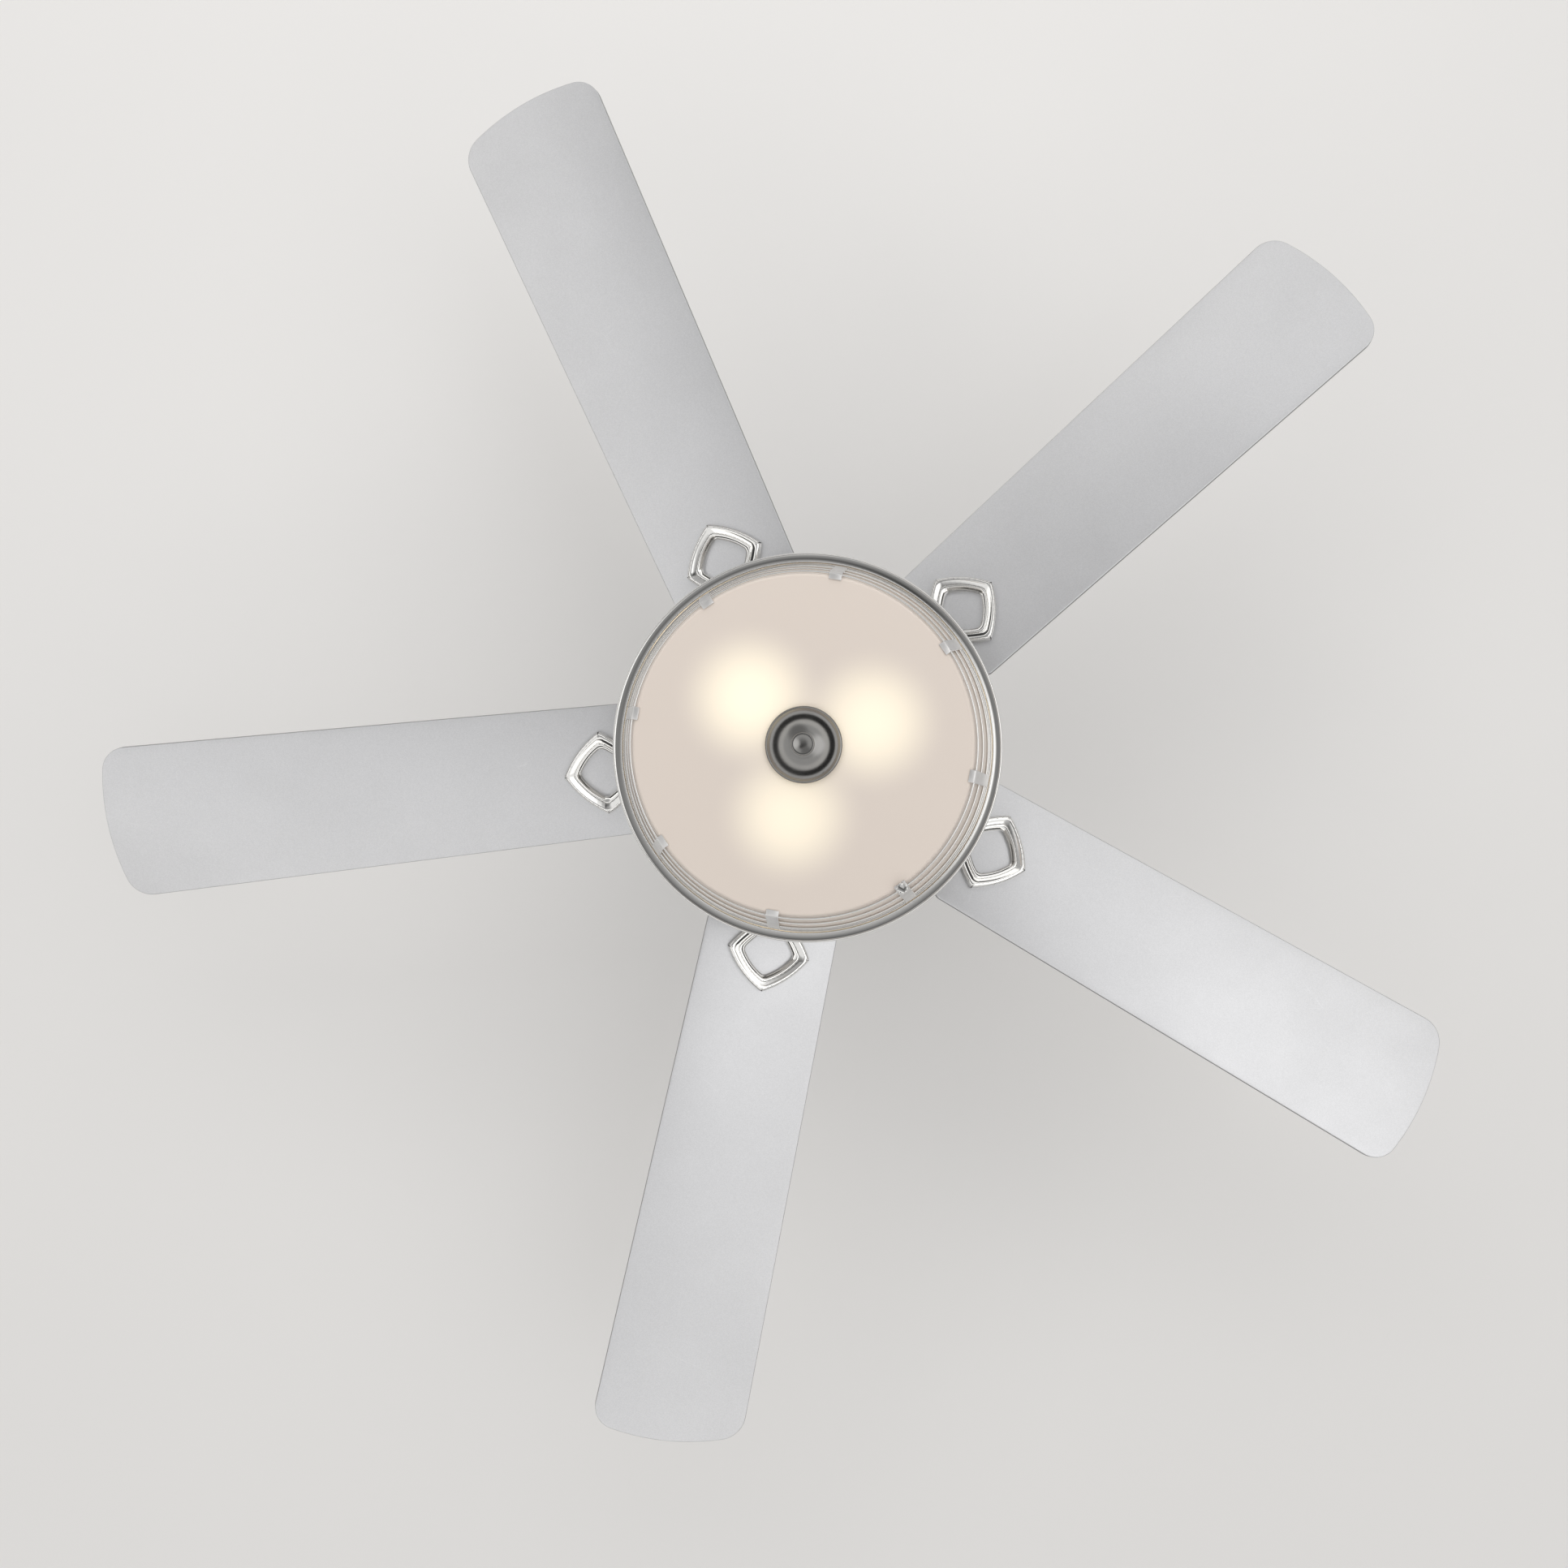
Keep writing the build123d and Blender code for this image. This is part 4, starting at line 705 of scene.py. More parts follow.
FINISHES = {
    "chrome": chrome,
    "silver_board": silver_lacquer,
    "satin_plate": lambda: metal("satin_plating", (0.74, 0.73, 0.72), (0.66, 0.65, 0.64), (0.36, 0.46), 30.0,
                                 0.08, 900.0),
    "dark_nickel": lambda: metal("polished_nickel", (0.25, 0.245, 0.235), (0.21, 0.205, 0.20), (0.15, 0.21),
                                 14.0),
    "silver_paint": satin_paint,
    "frosted_glass": frosted_glass,
    "lamp_glass": opal_glass,
    "zinc_steel": lambda: metal("zinc_plate", (0.66, 0.65, 0.61), (0.52, 0.53, 0.53), (0.28, 0.42), 60.0,
                                0.15),
    "cast_steel": lambda: metal("machined_casting", (0.40, 0.40, 0.41), (0.28, 0.28, 0.29), (0.4, 0.55),
                                30.0, 0.5, 500.0),
    "rotor_alloy": lambda: metal("rotor_casting", (0.68, 0.68, 0.69), (0.58, 0.58, 0.60), (0.32, 0.46), 26.0,
                                 0.3, 800.0),
    "lamination": lambda: layered("stacked_sheets", (0.34, 0.34, 0.36), (0.16, 0.16, 0.18), 0.001, "Z", 1.0,
                                  0.42),
    "copper": lambda: layered("wound_copper", (0.80, 0.38, 0.20), (0.42, 0.16, 0.08), 0.0011, "Z", 1.0, 0.24),
    "white_enamel": lambda: moulded("gloss_enamel", (0.88, 0.87, 0.84), (0.84, 0.83, 0.80), (0.18, 0.26),
                                    160.0, 0.05),
    "white_ceramic": lambda: moulded("glazed_ceramic", (0.86, 0.85, 0.81), (0.80, 0.79, 0.75), (0.2, 0.3),
                                     300.0, 0.08),
    "black_plastic": lambda: moulded("dark_moulding", (0.035, 0.035, 0.037), (0.022, 0.022, 0.024)),
    "grey_plastic": lambda: moulded("grey_moulding", (0.24, 0.25, 0.27), (0.18, 0.19, 0.21)),
    "rubber": lambda: moulded("soft_rubber", (0.045, 0.045, 0.045), (0.03, 0.03, 0.03), (0.6, 0.8), 1200.0,
                              0.3),
}
MADE = {}


def material_for(slot):
    """The finish of one of the record's slots, made the first time it is wanted."""
    if slot not in MADE:
        MADE[slot] = FINISHES[slot]()
    return MADE[slot]


# ---------------------------------------------------------------- pieces
class FAN_OT_ceiling_end(Operator):
    """Canopy, downrod and coupling cover"""

    bl_idname = "fan.ceiling_end"
    bl_label = "Ceiling End"

    def execute(self, context):
        shiny = material_for("chrome")
        low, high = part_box("canopy")
        radius, bottom, top = high.x, low.z, high.z
        hole = 25 * MM
        wall = 1.2 * MM
        side = top - 21 * MM
        dome = bezier((radius, side), (radius, side - 24 * MM), (radius * 0.66, bottom),
                      (hole + 3 * MM, bottom), 14)
        inner = bezier((hole + 3 * MM, bottom + wall), (radius * 0.66 - wall, bottom + wall),
                       (radius - wall, side - 23 * MM), (radius - wall, side), 14)
        profile = [(radius, top)] + dome + [(hole, bottom + 0.4 * MM), (hole, bottom + wall)] + inner
        canopy = turn_profile("canopy_dome", profile + [(radius - wall, top)], soft=0.0002)
        hand_over(canopy, "ceiling_mount", "chrome", shiny, "canopy")

        low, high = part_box("downrod")
        rod = turn_profile("downrod_pipe", [(high.x, high.z), (high.x, low.z), (high.x - 2.75 * MM, low.z),
                                            (high.x - 2.75 * MM, high.z)])
        hand_over(rod, "hanging_fan", "chrome", shiny, "downrod")

        bore = high.x + 0.55 * MM
        low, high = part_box("coupling_cover")
        wide, base, top = high.x, low.z, high.z
        neck = wide - 12.2 * MM
        flare = bezier((neck, top - 8 * MM), (neck, top - 24 * MM), (wide - 1.5 * MM, base + 22 * MM),
                       (wide, base + 6 * MM), 12)
        back = [(r - 1.2 * MM, z) for r, z in reversed(flare)]
        crown = bezier((bore + 5 * MM, top), (neck - 3 * MM, top), (neck, top - 3 * MM),
                       (neck, top - 8 * MM), 6)
        profile = [(bore, top)] + crown[:-1] + flare + [(wide, base), (wide - 1.2 * MM, base)] + back
        cover = turn_profile("coupling_cover_shell",
                             profile + [(bore + 4 * MM, top - 1.2 * MM), (bore, top - 1.2 * MM)],
                             soft=0.0002)
        hand_over(cover, "hanging_fan", "chrome", shiny, "coupling_cover")
        return {"FINISHED"}


class FAN_OT_motor(Operator):
    """Motor housing with its band, and the switch housing under the motor"""

    bl_idname = "fan.motor"
    bl_label = "Motor Housing"

    def execute(self, context):
        paint = material_for("silver_paint")
        low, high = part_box("motor_housing")
        radius, bottom, top = high.x, low.z, high.z
        wall = 1.5 * MM
        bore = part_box("motor_shaft")[1].x
        shoulder = bezier((46 * MM, top), (radius * 0.72, top), (radius * 0.9, top - 10 * MM),
                          (radius - 5 * MM, top - 19 * MM), 10)
        side = bezier((radius - 5 * MM, top - 19 * MM), (radius - 1 * MM, top - 22 * MM),
                      (radius, top - 26 * MM), (radius, top - 31 * MM), 6)
        skin = shoulder + side[1:]
        back = [(r - wall, z - wall * 0.6) for r, z in reversed(skin)]
        lip = [(radius, bottom + 1.5 * MM), (radius - 0.5 * MM, bottom), (radius - wall, bottom)]
        profile = [(bore, top)] + skin + lip + back + [(bore, top - wall)]
        housing = turn_profile("motor_housing_shell", profile, soft=0.0003)
        hand_over(housing, "hanging_fan", "silver_paint", paint, "motor_housing")

        low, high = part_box("housing_band")
        out, inside = high.x, radius
        raised = bezier((inside, high.z), (out + 0.1 * MM, high.z), (out, high.z - 1 * MM),
                        (out, high.z - 3 * MM), 5)
        ribs = []
        for z in (high.z - 5.5 * MM, low.z + 5.5 * MM):
            ribs += [(out, z + 0.9 * MM), (out - 0.9 * MM, z + 0.4 * MM), (out - 0.9 * MM, z - 0.4 * MM),
                     (out, z - 0.9 * MM)]
        lower = [(r, low.z + high.z - z) for r, z in reversed(raised)]
        band = turn_profile("housing_trim", raised + ribs + lower, soft=0.0002)
        hand_over(band, "hanging_fan", "chrome", material_for("chrome"), "housing_band")

        low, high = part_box("switch_housing")
        radius, bottom, top = high.x, low.z, high.z
        wall = 1.2 * MM
        corner = arc((radius - 5 * MM, bottom + 5 * MM), 5 * MM, 0, -80, 6)
        profile = [(radius, top)] + [(radius, top - 4 * MM), (radius - 0.8 * MM, top - 4.6 * MM),
                                     (radius - 0.8 * MM, top - 6.4 * MM), (radius, top - 7 * MM)] + corner
        profile += [(radius - 6 * MM, bottom), (radius - 6 * MM, bottom + wall),
                    (radius - wall, bottom + 4 * MM),
                    (radius - wall, top)]
        casing = turn_profile("switch_housing_cup", profile, soft=0.0002)
        hand_over(casing, "hanging_fan", "silver_paint", paint, "switch_housing")
        return {"FINISHED"}


def blade_height():
    """Height of the blades' middle plane."""
    low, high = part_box("blade_1")
    return (low.z + high.z) / 2


def spin_out(piece, label, nodes, body, slot, material):
    """Lays a piece made flat at the first blade's own place under every blade."""
    blades = bpy.context.scene.fan_blades
    piece.rotation_euler.x = -blades.pitch
    piece.location.z = blade_height()
    settle(piece)
    for index in range(blades.count):
        twin = copy_of(piece, f"{label}_{index + 1}")
        twin.rotation_euler.z = blades.first_angle + TURN * index / blades.count
        settle(twin)
        hand_over(twin, body, slot, material, f"{nodes}_{index + 1}")
    bpy.data.objects.remove(piece)


class FAN_OT_blades(Operator):
    """Flat lacquered boards with rounded edges and a shallow arc across the tip"""

    bl_idname = "fan.blades"
    bl_label = "Blades"

    def execute(self, context):
        settings = context.scene.fan_blades
        tip, root = 660 * MM, 165 * MM
        tip_half, root_half, sweep = 71.4 * MM, 61.8 * MM, 220 * MM
        tip_round, root_round = 23.5 * MM, 8 * MM
        middle = tip - sweep
        corner_x = middle + math.sqrt(sweep ** 2 - tip_half ** 2)
        lean = math.atan2(tip_half - root_half, corner_x - root)
        down, along = Vector((math.sin(lean), -math.cos(lean))), Vector((math.cos(lean), math.sin(lean)))
        start = Vector((root, root_half)) + down * tip_round - Vector((middle, 0))
        ahead = start.dot(along)
        reach = -ahead + math.sqrt(ahead ** 2 - start.length_squared + (sweep - tip_round) ** 2)
        hub = start + along * reach + Vector((middle, 0))
        turn = math.degrees(math.atan2(hub.y, hub.x - middle))
        tip_corner = arc(hub, tip_round, turn, 90 + math.degrees(lean), 14)
        across = arc((middle, 0), sweep, -turn, turn, 36)
        slope = math.tan(lean)
        rise = root_half + slope * root_round - root_round / math.cos(lean)
        root_corner = arc((root + root_round, rise), root_round, 90 + math.degrees(lean), 180, 12)
        upper = tip_corner[1:] + root_corner
        lower = [(x, -y) for x, y in reversed(upper)]
        under = -settings.thickness / 2
        board = draw_line("blade_board", [(x, y, under) for x, y in across + upper + lower], closed=True)
        bpy.ops.mesh.extrude_region_move(TRANSFORM_OT_translate={"value": (0, 0, settings.thickness)})
        bpy.ops.object.mode_set(mode="OBJECT")
        close_up(board)
        soften(board, settings.edge_round, 4, 40)
        spin_out(board, "blade_finish", "blade", "rotor", "silver_board", material_for("silver_board"))
        return {"FINISHED"}


class FAN_OT_blade_irons(Operator):
    """Irons: a foot under the motor, a twisting arm and an open moulded frame under the blade"""

    bl_idname = "fan.blade_irons"
    bl_label = "Blade Irons"

    def frame_moulding(self, context):
        """The open frame: bead, groove and steps drawn in towards the window."""
        settings = context.scene.fan_blades
        tip, root, side, half = 230 * MM, 155 * MM, 193 * MM, 39 * MM
        corners = [(tip, 0), (side, half), (root, 0), (side, -half)]
        heart = Vector(((tip + root) / 2, 0, 0))
        inner = (tip - root) / 2 * half / math.hypot((tip - root) / 2, half)
        bulge = 4 * MM
        outline = []
        for (x0, y0), (x1, y1) in zip(corners, corners[1:] + corners[:1]):
            length = math.hypot(x1 - x0, y1 - y0)
            for i in range(10):
                t = i / 10
                bow = bulge * 4 * t * (1 - t)
                outline.append((x0 + (x1 - x0) * t + (y1 - y0) / length * bow,
                                y0 + (y1 - y0) * t + (x0 - x1) / length * bow))
        under = -settings.thickness / 2
        piece = draw_line("iron_frame", [(x, y, under) for x, y in outline], closed=True)
        bpy.ops.object.mode_set(mode="OBJECT")
        for point in piece.data.vertices:
            point.select = any(math.hypot(point.co.x - x, point.co.y - y) < 1e-5 for x, y in corners)
        bpy.ops.object.mode_set(mode="EDIT")
        bpy.ops.mesh.select_mode(type="VERT")
        bpy.ops.mesh.bevel(offset=4.9 * MM, offset_type="OFFSET", segments=8, affect="VERTICES",
                           clamp_overlap=False)
        bpy.ops.mesh.select_all(action="SELECT")
        bpy.ops.mesh.remove_doubles(threshold=0.00001)
        bead = settings.bead
        steps = [(0.0, bead - 2.2 * MM), (0.3 * MM, bead - 1.2 * MM), (0.9 * MM, bead - 0.45 * MM),
                 (1.8 * MM, bead - 0.05 * MM), (2.6 * MM, bead), (3.4 * MM, bead - 0.25 * MM),
                 (6.0 * MM, bead - 2.1 * MM), (6.3 * MM, bead - 2.1 * MM), (6.6 * MM, bead - 1.5 * MM),
                 (7.4 * MM, bead - 1.3 * MM), (8.2 * MM, bead - 1.6 * MM), (10.2 * MM, bead - 3.0 * MM),
                 (10.8 * MM, bead - 4.4 * MM), (10.8 * MM, 0.0)]
        last_height, last_inset = 0.0, 0.0
        for inset, height in steps:
            bpy.ops.mesh.extrude_region_move(TRANSFORM_OT_translate={"value": (0, 0, last_height - height)})
            scale = (inner - inset) / (inner - last_inset)
            bpy.ops.transform.resize(value=(scale, scale, 1), center_override=heart)
            last_height, last_inset = height, inset
        bpy.ops.mesh.delete(type="FACE")
        bpy.ops.object.mode_set(mode="OBJECT")

        def on_blade(element):
            return all(abs(piece.data.vertices[v].co.z - under) < 1e-6 for v in element.vertices)

        pick(piece, "FACE", on_blade)
        bpy.ops.mesh.delete(type="ONLY_FACE")
        pick(piece, "EDGE", on_blade)
        bpy.ops.mesh.bridge_edge_loops()
        bpy.ops.object.mode_set(mode="OBJECT")
        close_up(piece)
        soften(piece, 0, 0, 50)
        return piece

    def foot_and_arm(self, context):
        """The foot's rounded plate, with its arm drawn out, dropped and twisted to the blade's pitch."""
        pitch = context.scene.fan_blades.pitch
        plane = blade_height()
        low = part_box("rotor_bottom_shell")[0].z
        deep = 4 * MM
        deselect()
        bpy.ops.mesh.primitive_cube_add(size=1, location=(81 * MM, 0, low - deep / 2),
                                        scale=(38 * MM, 36 * MM, deep))
        foot = settle(bpy.context.object)
        foot.name = "iron_foot"

        def upright(edge):
            a, b = (foot.data.vertices[v].co for v in edge.vertices)
            return abs(a.z - b.z) > 1 * MM

        pick(foot, "EDGE", upright)
        bpy.ops.mesh.bevel(offset=7 * MM, segments=8)
        close_up(foot)
        soften(foot, 0.0008, 3, 40)

        start, end = 94 * MM, 164 * MM
        arm_z = low - deep / 2
        end_z = plane - (context.scene.fan_blades.thickness / 2 + 4.4 * MM)
        deselect()
        bpy.ops.mesh.primitive_cube_add(size=1, location=(start, 0, arm_z), scale=(2 * MM, 24 * MM, deep))
        arm = settle(bpy.context.object)
        arm.name = "iron_arm"
        pick(arm, "FACE", lambda face: face.normal.x > 0.9)
        rounds = 14
        last = Vector((start + 1 * MM, 0, arm_z))
        width, tilt = 24 * MM, 0.0
        for i in range(1, rounds + 1):
            t = i / rounds
            ease = t * t * (3 - 2 * t)
            spot = Vector((start + 1 * MM + (end - start) * t, 0, arm_z + (end_z - arm_z) * ease))
            bpy.ops.mesh.extrude_region_move(TRANSFORM_OT_translate={"value": spot - last})
            wider = (24 - 10 * math.sin(math.pi * min(1.0, t * 1.1)) ** 0.8 - 4 * t) * MM
            bpy.ops.transform.resize(value=(1, wider / width, 1), center_override=spot)
            bpy.ops.transform.rotate(value=pitch * ease - tilt, orient_axis="X", center_override=spot)
            last, width, tilt = spot, wider, pitch * ease
        bpy.ops.object.mode_set(mode="OBJECT")
        close_up(arm)
        soften(arm, 0.0012, 3, 40)
        return foot, arm

    def execute(self, context):
        frame_piece = self.frame_moulding(context)
        frame_piece.rotation_euler.x = -context.scene.fan_blades.pitch
        frame_piece.location.z = blade_height()
        settle(frame_piece)
        iron = join([frame_piece, *self.foot_and_arm(context)], "iron")
        settings = context.scene.fan_blades
        for index in range(settings.count):
            twin = copy_of(iron, f"blade_iron_finish_{index + 1}")
            twin.rotation_euler.z = settings.first_angle + TURN * index / settings.count
            settle(twin)
            hand_over(twin, "rotor", "chrome", material_for("chrome"), f"blade_iron_{index + 1}")
        bpy.data.objects.remove(iron)
        return {"FINISHED"}


class FAN_OT_light_pan(Operator):
    """Spun light pan with its rolled rim, flat band and inner lip, and the cage's top ring"""

    bl_idname = "fan.light_pan"
    bl_label = "Light Pan"

    def execute(self, context):
        low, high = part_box("light_pan")
        radius, flange, top = high.x, low.z, high.z
        wall = 1.2 * MM
        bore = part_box("centre_rod")[1].x
        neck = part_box("switch_housing")[1].x + 4 * MM
        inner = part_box("cage_ring")[1].x + 0.7 * MM
        bead = context.scene.fan_metal.rim_bead
        slope = bezier((neck, top), (neck + 40 * MM, top - 1 * MM), (radius - 34 * MM, top - 5.5 * MM),
                       (radius - 9 * MM, top - 10 * MM), 14)
        side = bezier((radius - 9 * MM, top - 10 * MM), (radius - 4 * MM, top - 11.5 * MM),
                      (radius - 1.2 * MM, top - 14 * MM), (radius - 1.2 * MM, flange + 2 * bead + 0.4 * MM),
                      6)
        rim = arc((radius - bead, flange + bead), bead, 80, -95, 12)
        band = bezier((radius - bead - 0.5 * MM, flange + 0.15 * MM), (radius - 4 * MM, flange + 0.42 * MM),
                      (inner + 3.5 * MM, flange + 0.50 * MM), (inner + 1.4 * MM, flange + 0.35 * MM), 8)
        lip = arc((inner + 0.75 * MM, flange + 0.75 * MM), 0.75 * MM, -60, -180, 8)
        back = [(inner, flange + 3.2 * MM), (inner + wall, flange + 3.2 * MM),
                (inner + wall, flange + 1.9 * MM),
                (radius - 3.4 * MM, flange + 1.9 * MM), (radius - 2.6 * MM, top - 15 * MM)]
        inside = [(r - 0.3 * MM, z - wall) for r, z in reversed(slope)]
        profile = [(bore, top)] + slope + side[1:] + rim + band + lip + back + inside + [(bore, top - wall)]
        pan = turn_profile("light_pan_spun", profile, 256, soft=0)
        hand_over(pan, "hanging_fan", "chrome", material_for("chrome"), "light_pan")

        low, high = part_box("cage_ring")
        out, bottom, top = high.x, low.z, high.z
        wide = 2.7 * MM
        profile = [(out, top), (out, bottom + 0.5 * MM), (out - 0.3 * MM, bottom), (out - 1.1 * MM, bottom),
                   (out - 1.3 * MM, bottom + 0.5 * MM), (out - 1.6 * MM, bottom + 0.5 * MM),
                   (out - 1.8 * MM, bottom), (out - wide, bottom), (out - wide, top)]
        ring = turn_profile("cage_ring_finish", profile, 256, soft=0.00015)
        hand_over(ring, "shade", "chrome", material_for("chrome"), "cage_ring")

        low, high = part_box("reflector")
        out, base, rise = high.x, low.z, high.z
        dish = bezier((40 * MM, base), (70 * MM, base), (out - 30 * MM, rise - 4 * MM),
                      (out, rise - 0.8 * MM), 10)
        back = [(r, z + 0.8 * MM) for r, z in reversed(dish)]
        pressing = turn_profile("reflector_dish", [(bore, base)] + dish + back + [(bore, base + 0.8 * MM)],
                                soft=0)
        hand_over(pressing, "hanging_fan", "white_enamel", material_for("white_enamel"), "reflector")
        return {"FINISHED"}


def stand_on_axis(piece, pos, axis):
    """Turns a piece made about +Z from the origin onto an axis from a point."""
    piece.rotation_mode = "QUATERNION"
    piece.rotation_quaternion = axis.to_track_quat("Z", "Y")
    piece.location = pos
    settle(piece)
    piece.rotation_mode = "XYZ"
    return piece


class FAN_OT_lamps(Operator):
    """Three opal globe lamps with ribbed screw bases, in glazed sockets"""

    bl_idname = "fan.lamps"
    bl_label = "Lamps"

    def execute(self, context):
        globe, ahead = 22.5 * MM, 58 * MM
        base_r, start, rim = 13 * MM, 3.5 * MM, 34 * MM
        thread = []
        turns = 6
        for i in range(turns * 2):
            z = start + 5 * MM + i * 1.6 * MM
            thread.append((base_r - (0.9 * MM if i % 2 else 0), z))
        meet = ahead - math.sqrt(globe ** 2 - (base_r + 1 * MM) ** 2)
        round_part = arc((0, ahead), globe, math.degrees(math.atan2(meet - ahead, base_r + 1 * MM)), 90, 36)
        profile = [(0, start), (4 * MM, start), (5 * MM, start + 1 * MM), (base_r - 1.5 * MM, start + 4 * MM)]
        profile += thread + [(base_r, rim - 3 * MM),
                             (base_r + 0.6 * MM, rim)] + round_part[:-1] + [(0, ahead + globe)]
        lamp = turn_profile("lamp", profile, 64, soft=0)
        cup = turn_profile("socket", [(0, 0), (15 * MM, 0), (16 * MM, 1 * MM), (16 * MM, rim - 3 * MM),
                                      (17.2 * MM, rim - 2.6 * MM), (17.2 * MM, rim - 0.5 * MM),
                                      (16.7 * MM, rim),
                                      (14.2 * MM, rim), (13.8 * MM, rim - 0.5 * MM), (13.8 * MM, 3 * MM),
                                      (0, 3 * MM)], 64, soft=0.0002)
        cups = []
        for index in range(1, 4):
            pos, axis = lamp_axis(index)
            twin = stand_on_axis(copy_of(lamp, f"lamp_globe_{index}"), pos, axis)
            hand_over(twin, f"bulb_{index}", "lamp_glass", material_for("lamp_glass"), f"bulb_{index}")
            cups.append(stand_on_axis(copy_of(cup, f"socket_{index}"), pos, axis))
        sockets = join(cups, "lamp_socket_cups")
        hand_over(sockets, "hanging_fan", "white_ceramic", material_for("white_ceramic"), "lamp_sockets")
        bpy.data.objects.remove(lamp)
        bpy.data.objects.remove(cup)
        return {"FINISHED"}


class FAN_OT_shade(Operator):
    """Frosted tapering drum in its cage of hoops and straps, with the rubber washer"""

    bl_idname = "fan.shade"
    bl_label = "Shade and Cage"

    def execute(self, context):
        settings = context.scene.fan_light
        low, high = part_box("glass_shade")
        top_r, top, floor = high.x, high.z, low.z
        floor_r, wall = settings.glass_floor_radius, settings.glass_wall
        slope = (top_r - floor_r) / (top - floor)
        lean = math.degrees(math.atan(slope))
        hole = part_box("centre_rod")[1].x + 1.8 * MM
        turn_in = 2.6 * MM
        corner = arc((floor_r - turn_in, floor + turn_in), turn_in, -90, -lean, 8)
        inner = arc((floor_r - turn_in - 1.5 * MM, floor + wall + turn_in), turn_in, -lean, -90, 8)
        mouth = arc((top_r - wall / 2, top - wall / 2), wall / 2, -lean, 180 - lean, 8)
        profile = [(hole, floor), *corner, *mouth, *inner, (hole, floor + wall)]
        glass = turn_profile("glass_drum", profile, 256, soft=0)
        hand_over(glass, "shade", "frosted_glass", material_for("frosted_glass"), "glass_shade")

        shiny, satin = material_for("chrome"), material_for("satin_plate")
        hoops = []
        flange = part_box("light_pan")[0].z
        strap = 1.6 * MM
        stretch = math.hypot(1, slope)
        outer = floor_r + 3.5 * MM * stretch
        for depth in (11.5 * MM, 49 * MM, 86 * MM):
            height = flange - depth
            radius = outer + slope * (height - floor) - 2.2 * MM * stretch
            ring = arc((radius, height), 1 * MM, 0, 345, 23)
            hoops.append(turn_profile("hoop", ring, 256, soft=0))
        hand_over(join(hoops, "cage_hoop_set"), "shade", "chrome", shiny, "cage_hoops")

        foot = floor - 1.5 * MM
        ring_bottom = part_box("cage_ring")[0].z

        def face(height):
            return outer + slope * (height - floor)

        bend = arc((face(foot) - 2.2 * MM, foot + 2.2 * MM), 2.2 * MM, -lean, -90, 6)
        side = [(face(ring_bottom), ring_bottom), *bend]
        toe = floor_r - 3.1 * MM
        line = side + [(toe, foot), (toe, floor), (face(floor) - strap * stretch - 0.6 * MM, floor),
                       (face(floor) - strap * stretch, floor + 0.6 * MM),
                       (face(ring_bottom) - strap * stretch, ring_bottom)]
        half = 5.25 * MM
        bar = draw_line("strap", [(r, -half, z) for r, z in line], closed=True)
        bpy.ops.mesh.extrude_region_move(TRANSFORM_OT_translate={"value": (0, 2 * half, 0)})
        bpy.ops.object.mode_set(mode="OBJECT")
        close_up(bar)
        soften(bar, 0.0004, 3, 40)
        plain = []
        for index in range(settings.strap_count):
            twin = copy_of(bar, f"strap_{index}")
            twin.rotation_euler.z = settings.strap_angle + TURN * index / settings.strap_count
            settle(twin)
            if index == settings.clamp_index:
                twin.name = "clamp_strap_finish"
                hand_over(twin, "shade", "satin_plate", satin, "clamp_strap")
            else:
                plain.append(twin)
        hand_over(join(plain, "cage_strap_set"), "shade", "satin_plate", satin, "cage_straps")
        bpy.data.objects.remove(bar)

        low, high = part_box("shade_washer")
        bulge = [(hole, high.z), (high.x - 0.5 * MM, high.z), (high.x, (low.z + high.z) / 2),
                 (high.x - 0.5 * MM, low.z), (hole, low.z)]
        washer = turn_profile("shade_washer_ring", bulge, 96, soft=0.0003)
        hand_over(washer, "shade", "rubber", material_for("rubber"), "shade_washer")
        return {"FINISHED"}


class FAN_OT_finial(Operator):
    """Turned finial: rolled rim, shallow dished cap and a flat nub"""

    bl_idname = "fan.finial"
    bl_label = "Finial"

    def execute(self, context):
        low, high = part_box("finial")
        out, top, end = high.x, high.z, low.z
        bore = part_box("centre_rod")[1].x + 0.05 * MM
        nub, cap = 9.4 * MM, end + 8.5 * MM
        rim = arc((out - 1.5 * MM, top - 1.5 * MM), 1.5 * MM, 70, -75, 10)
        dish = bezier((out - 1.6 * MM, top - 3.1 * MM), (out - 4.2 * MM, top - 8.2 * MM),
                      (out - 13 * MM, cap + 1 * MM), (nub + 0.6 * MM, cap), 18)
        collar = [(nub - 0.9 * MM, cap - 0.4 * MM), (nub - 0.9 * MM, cap - 1.3 * MM),
                  (nub - 0.2 * MM, cap - 2.2 * MM),
                  (nub, cap - 3.2 * MM)]
        tip = arc((nub - 1.1 * MM, end + 1.1 * MM), 1.1 * MM, 0, -90, 7)
        face = [(nub - 2.2 * MM, end), (nub - 2.9 * MM, end + 0.35 * MM), (0, end + 0.55 * MM)]
        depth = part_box("centre_rod")[0].z - 1.5 * MM
        profile = [(bore, top), (out - 1 * MM, top), *rim, *dish, *collar, *tip, *face, (0, depth),
                   (bore, depth)]
        cap_piece = turn_profile("finial_turned", profile, 160, soft=0)
        hand_over(cap_piece, "finial", "dark_nickel", material_for("dark_nickel"), "finial")
        return {"FINISHED"}


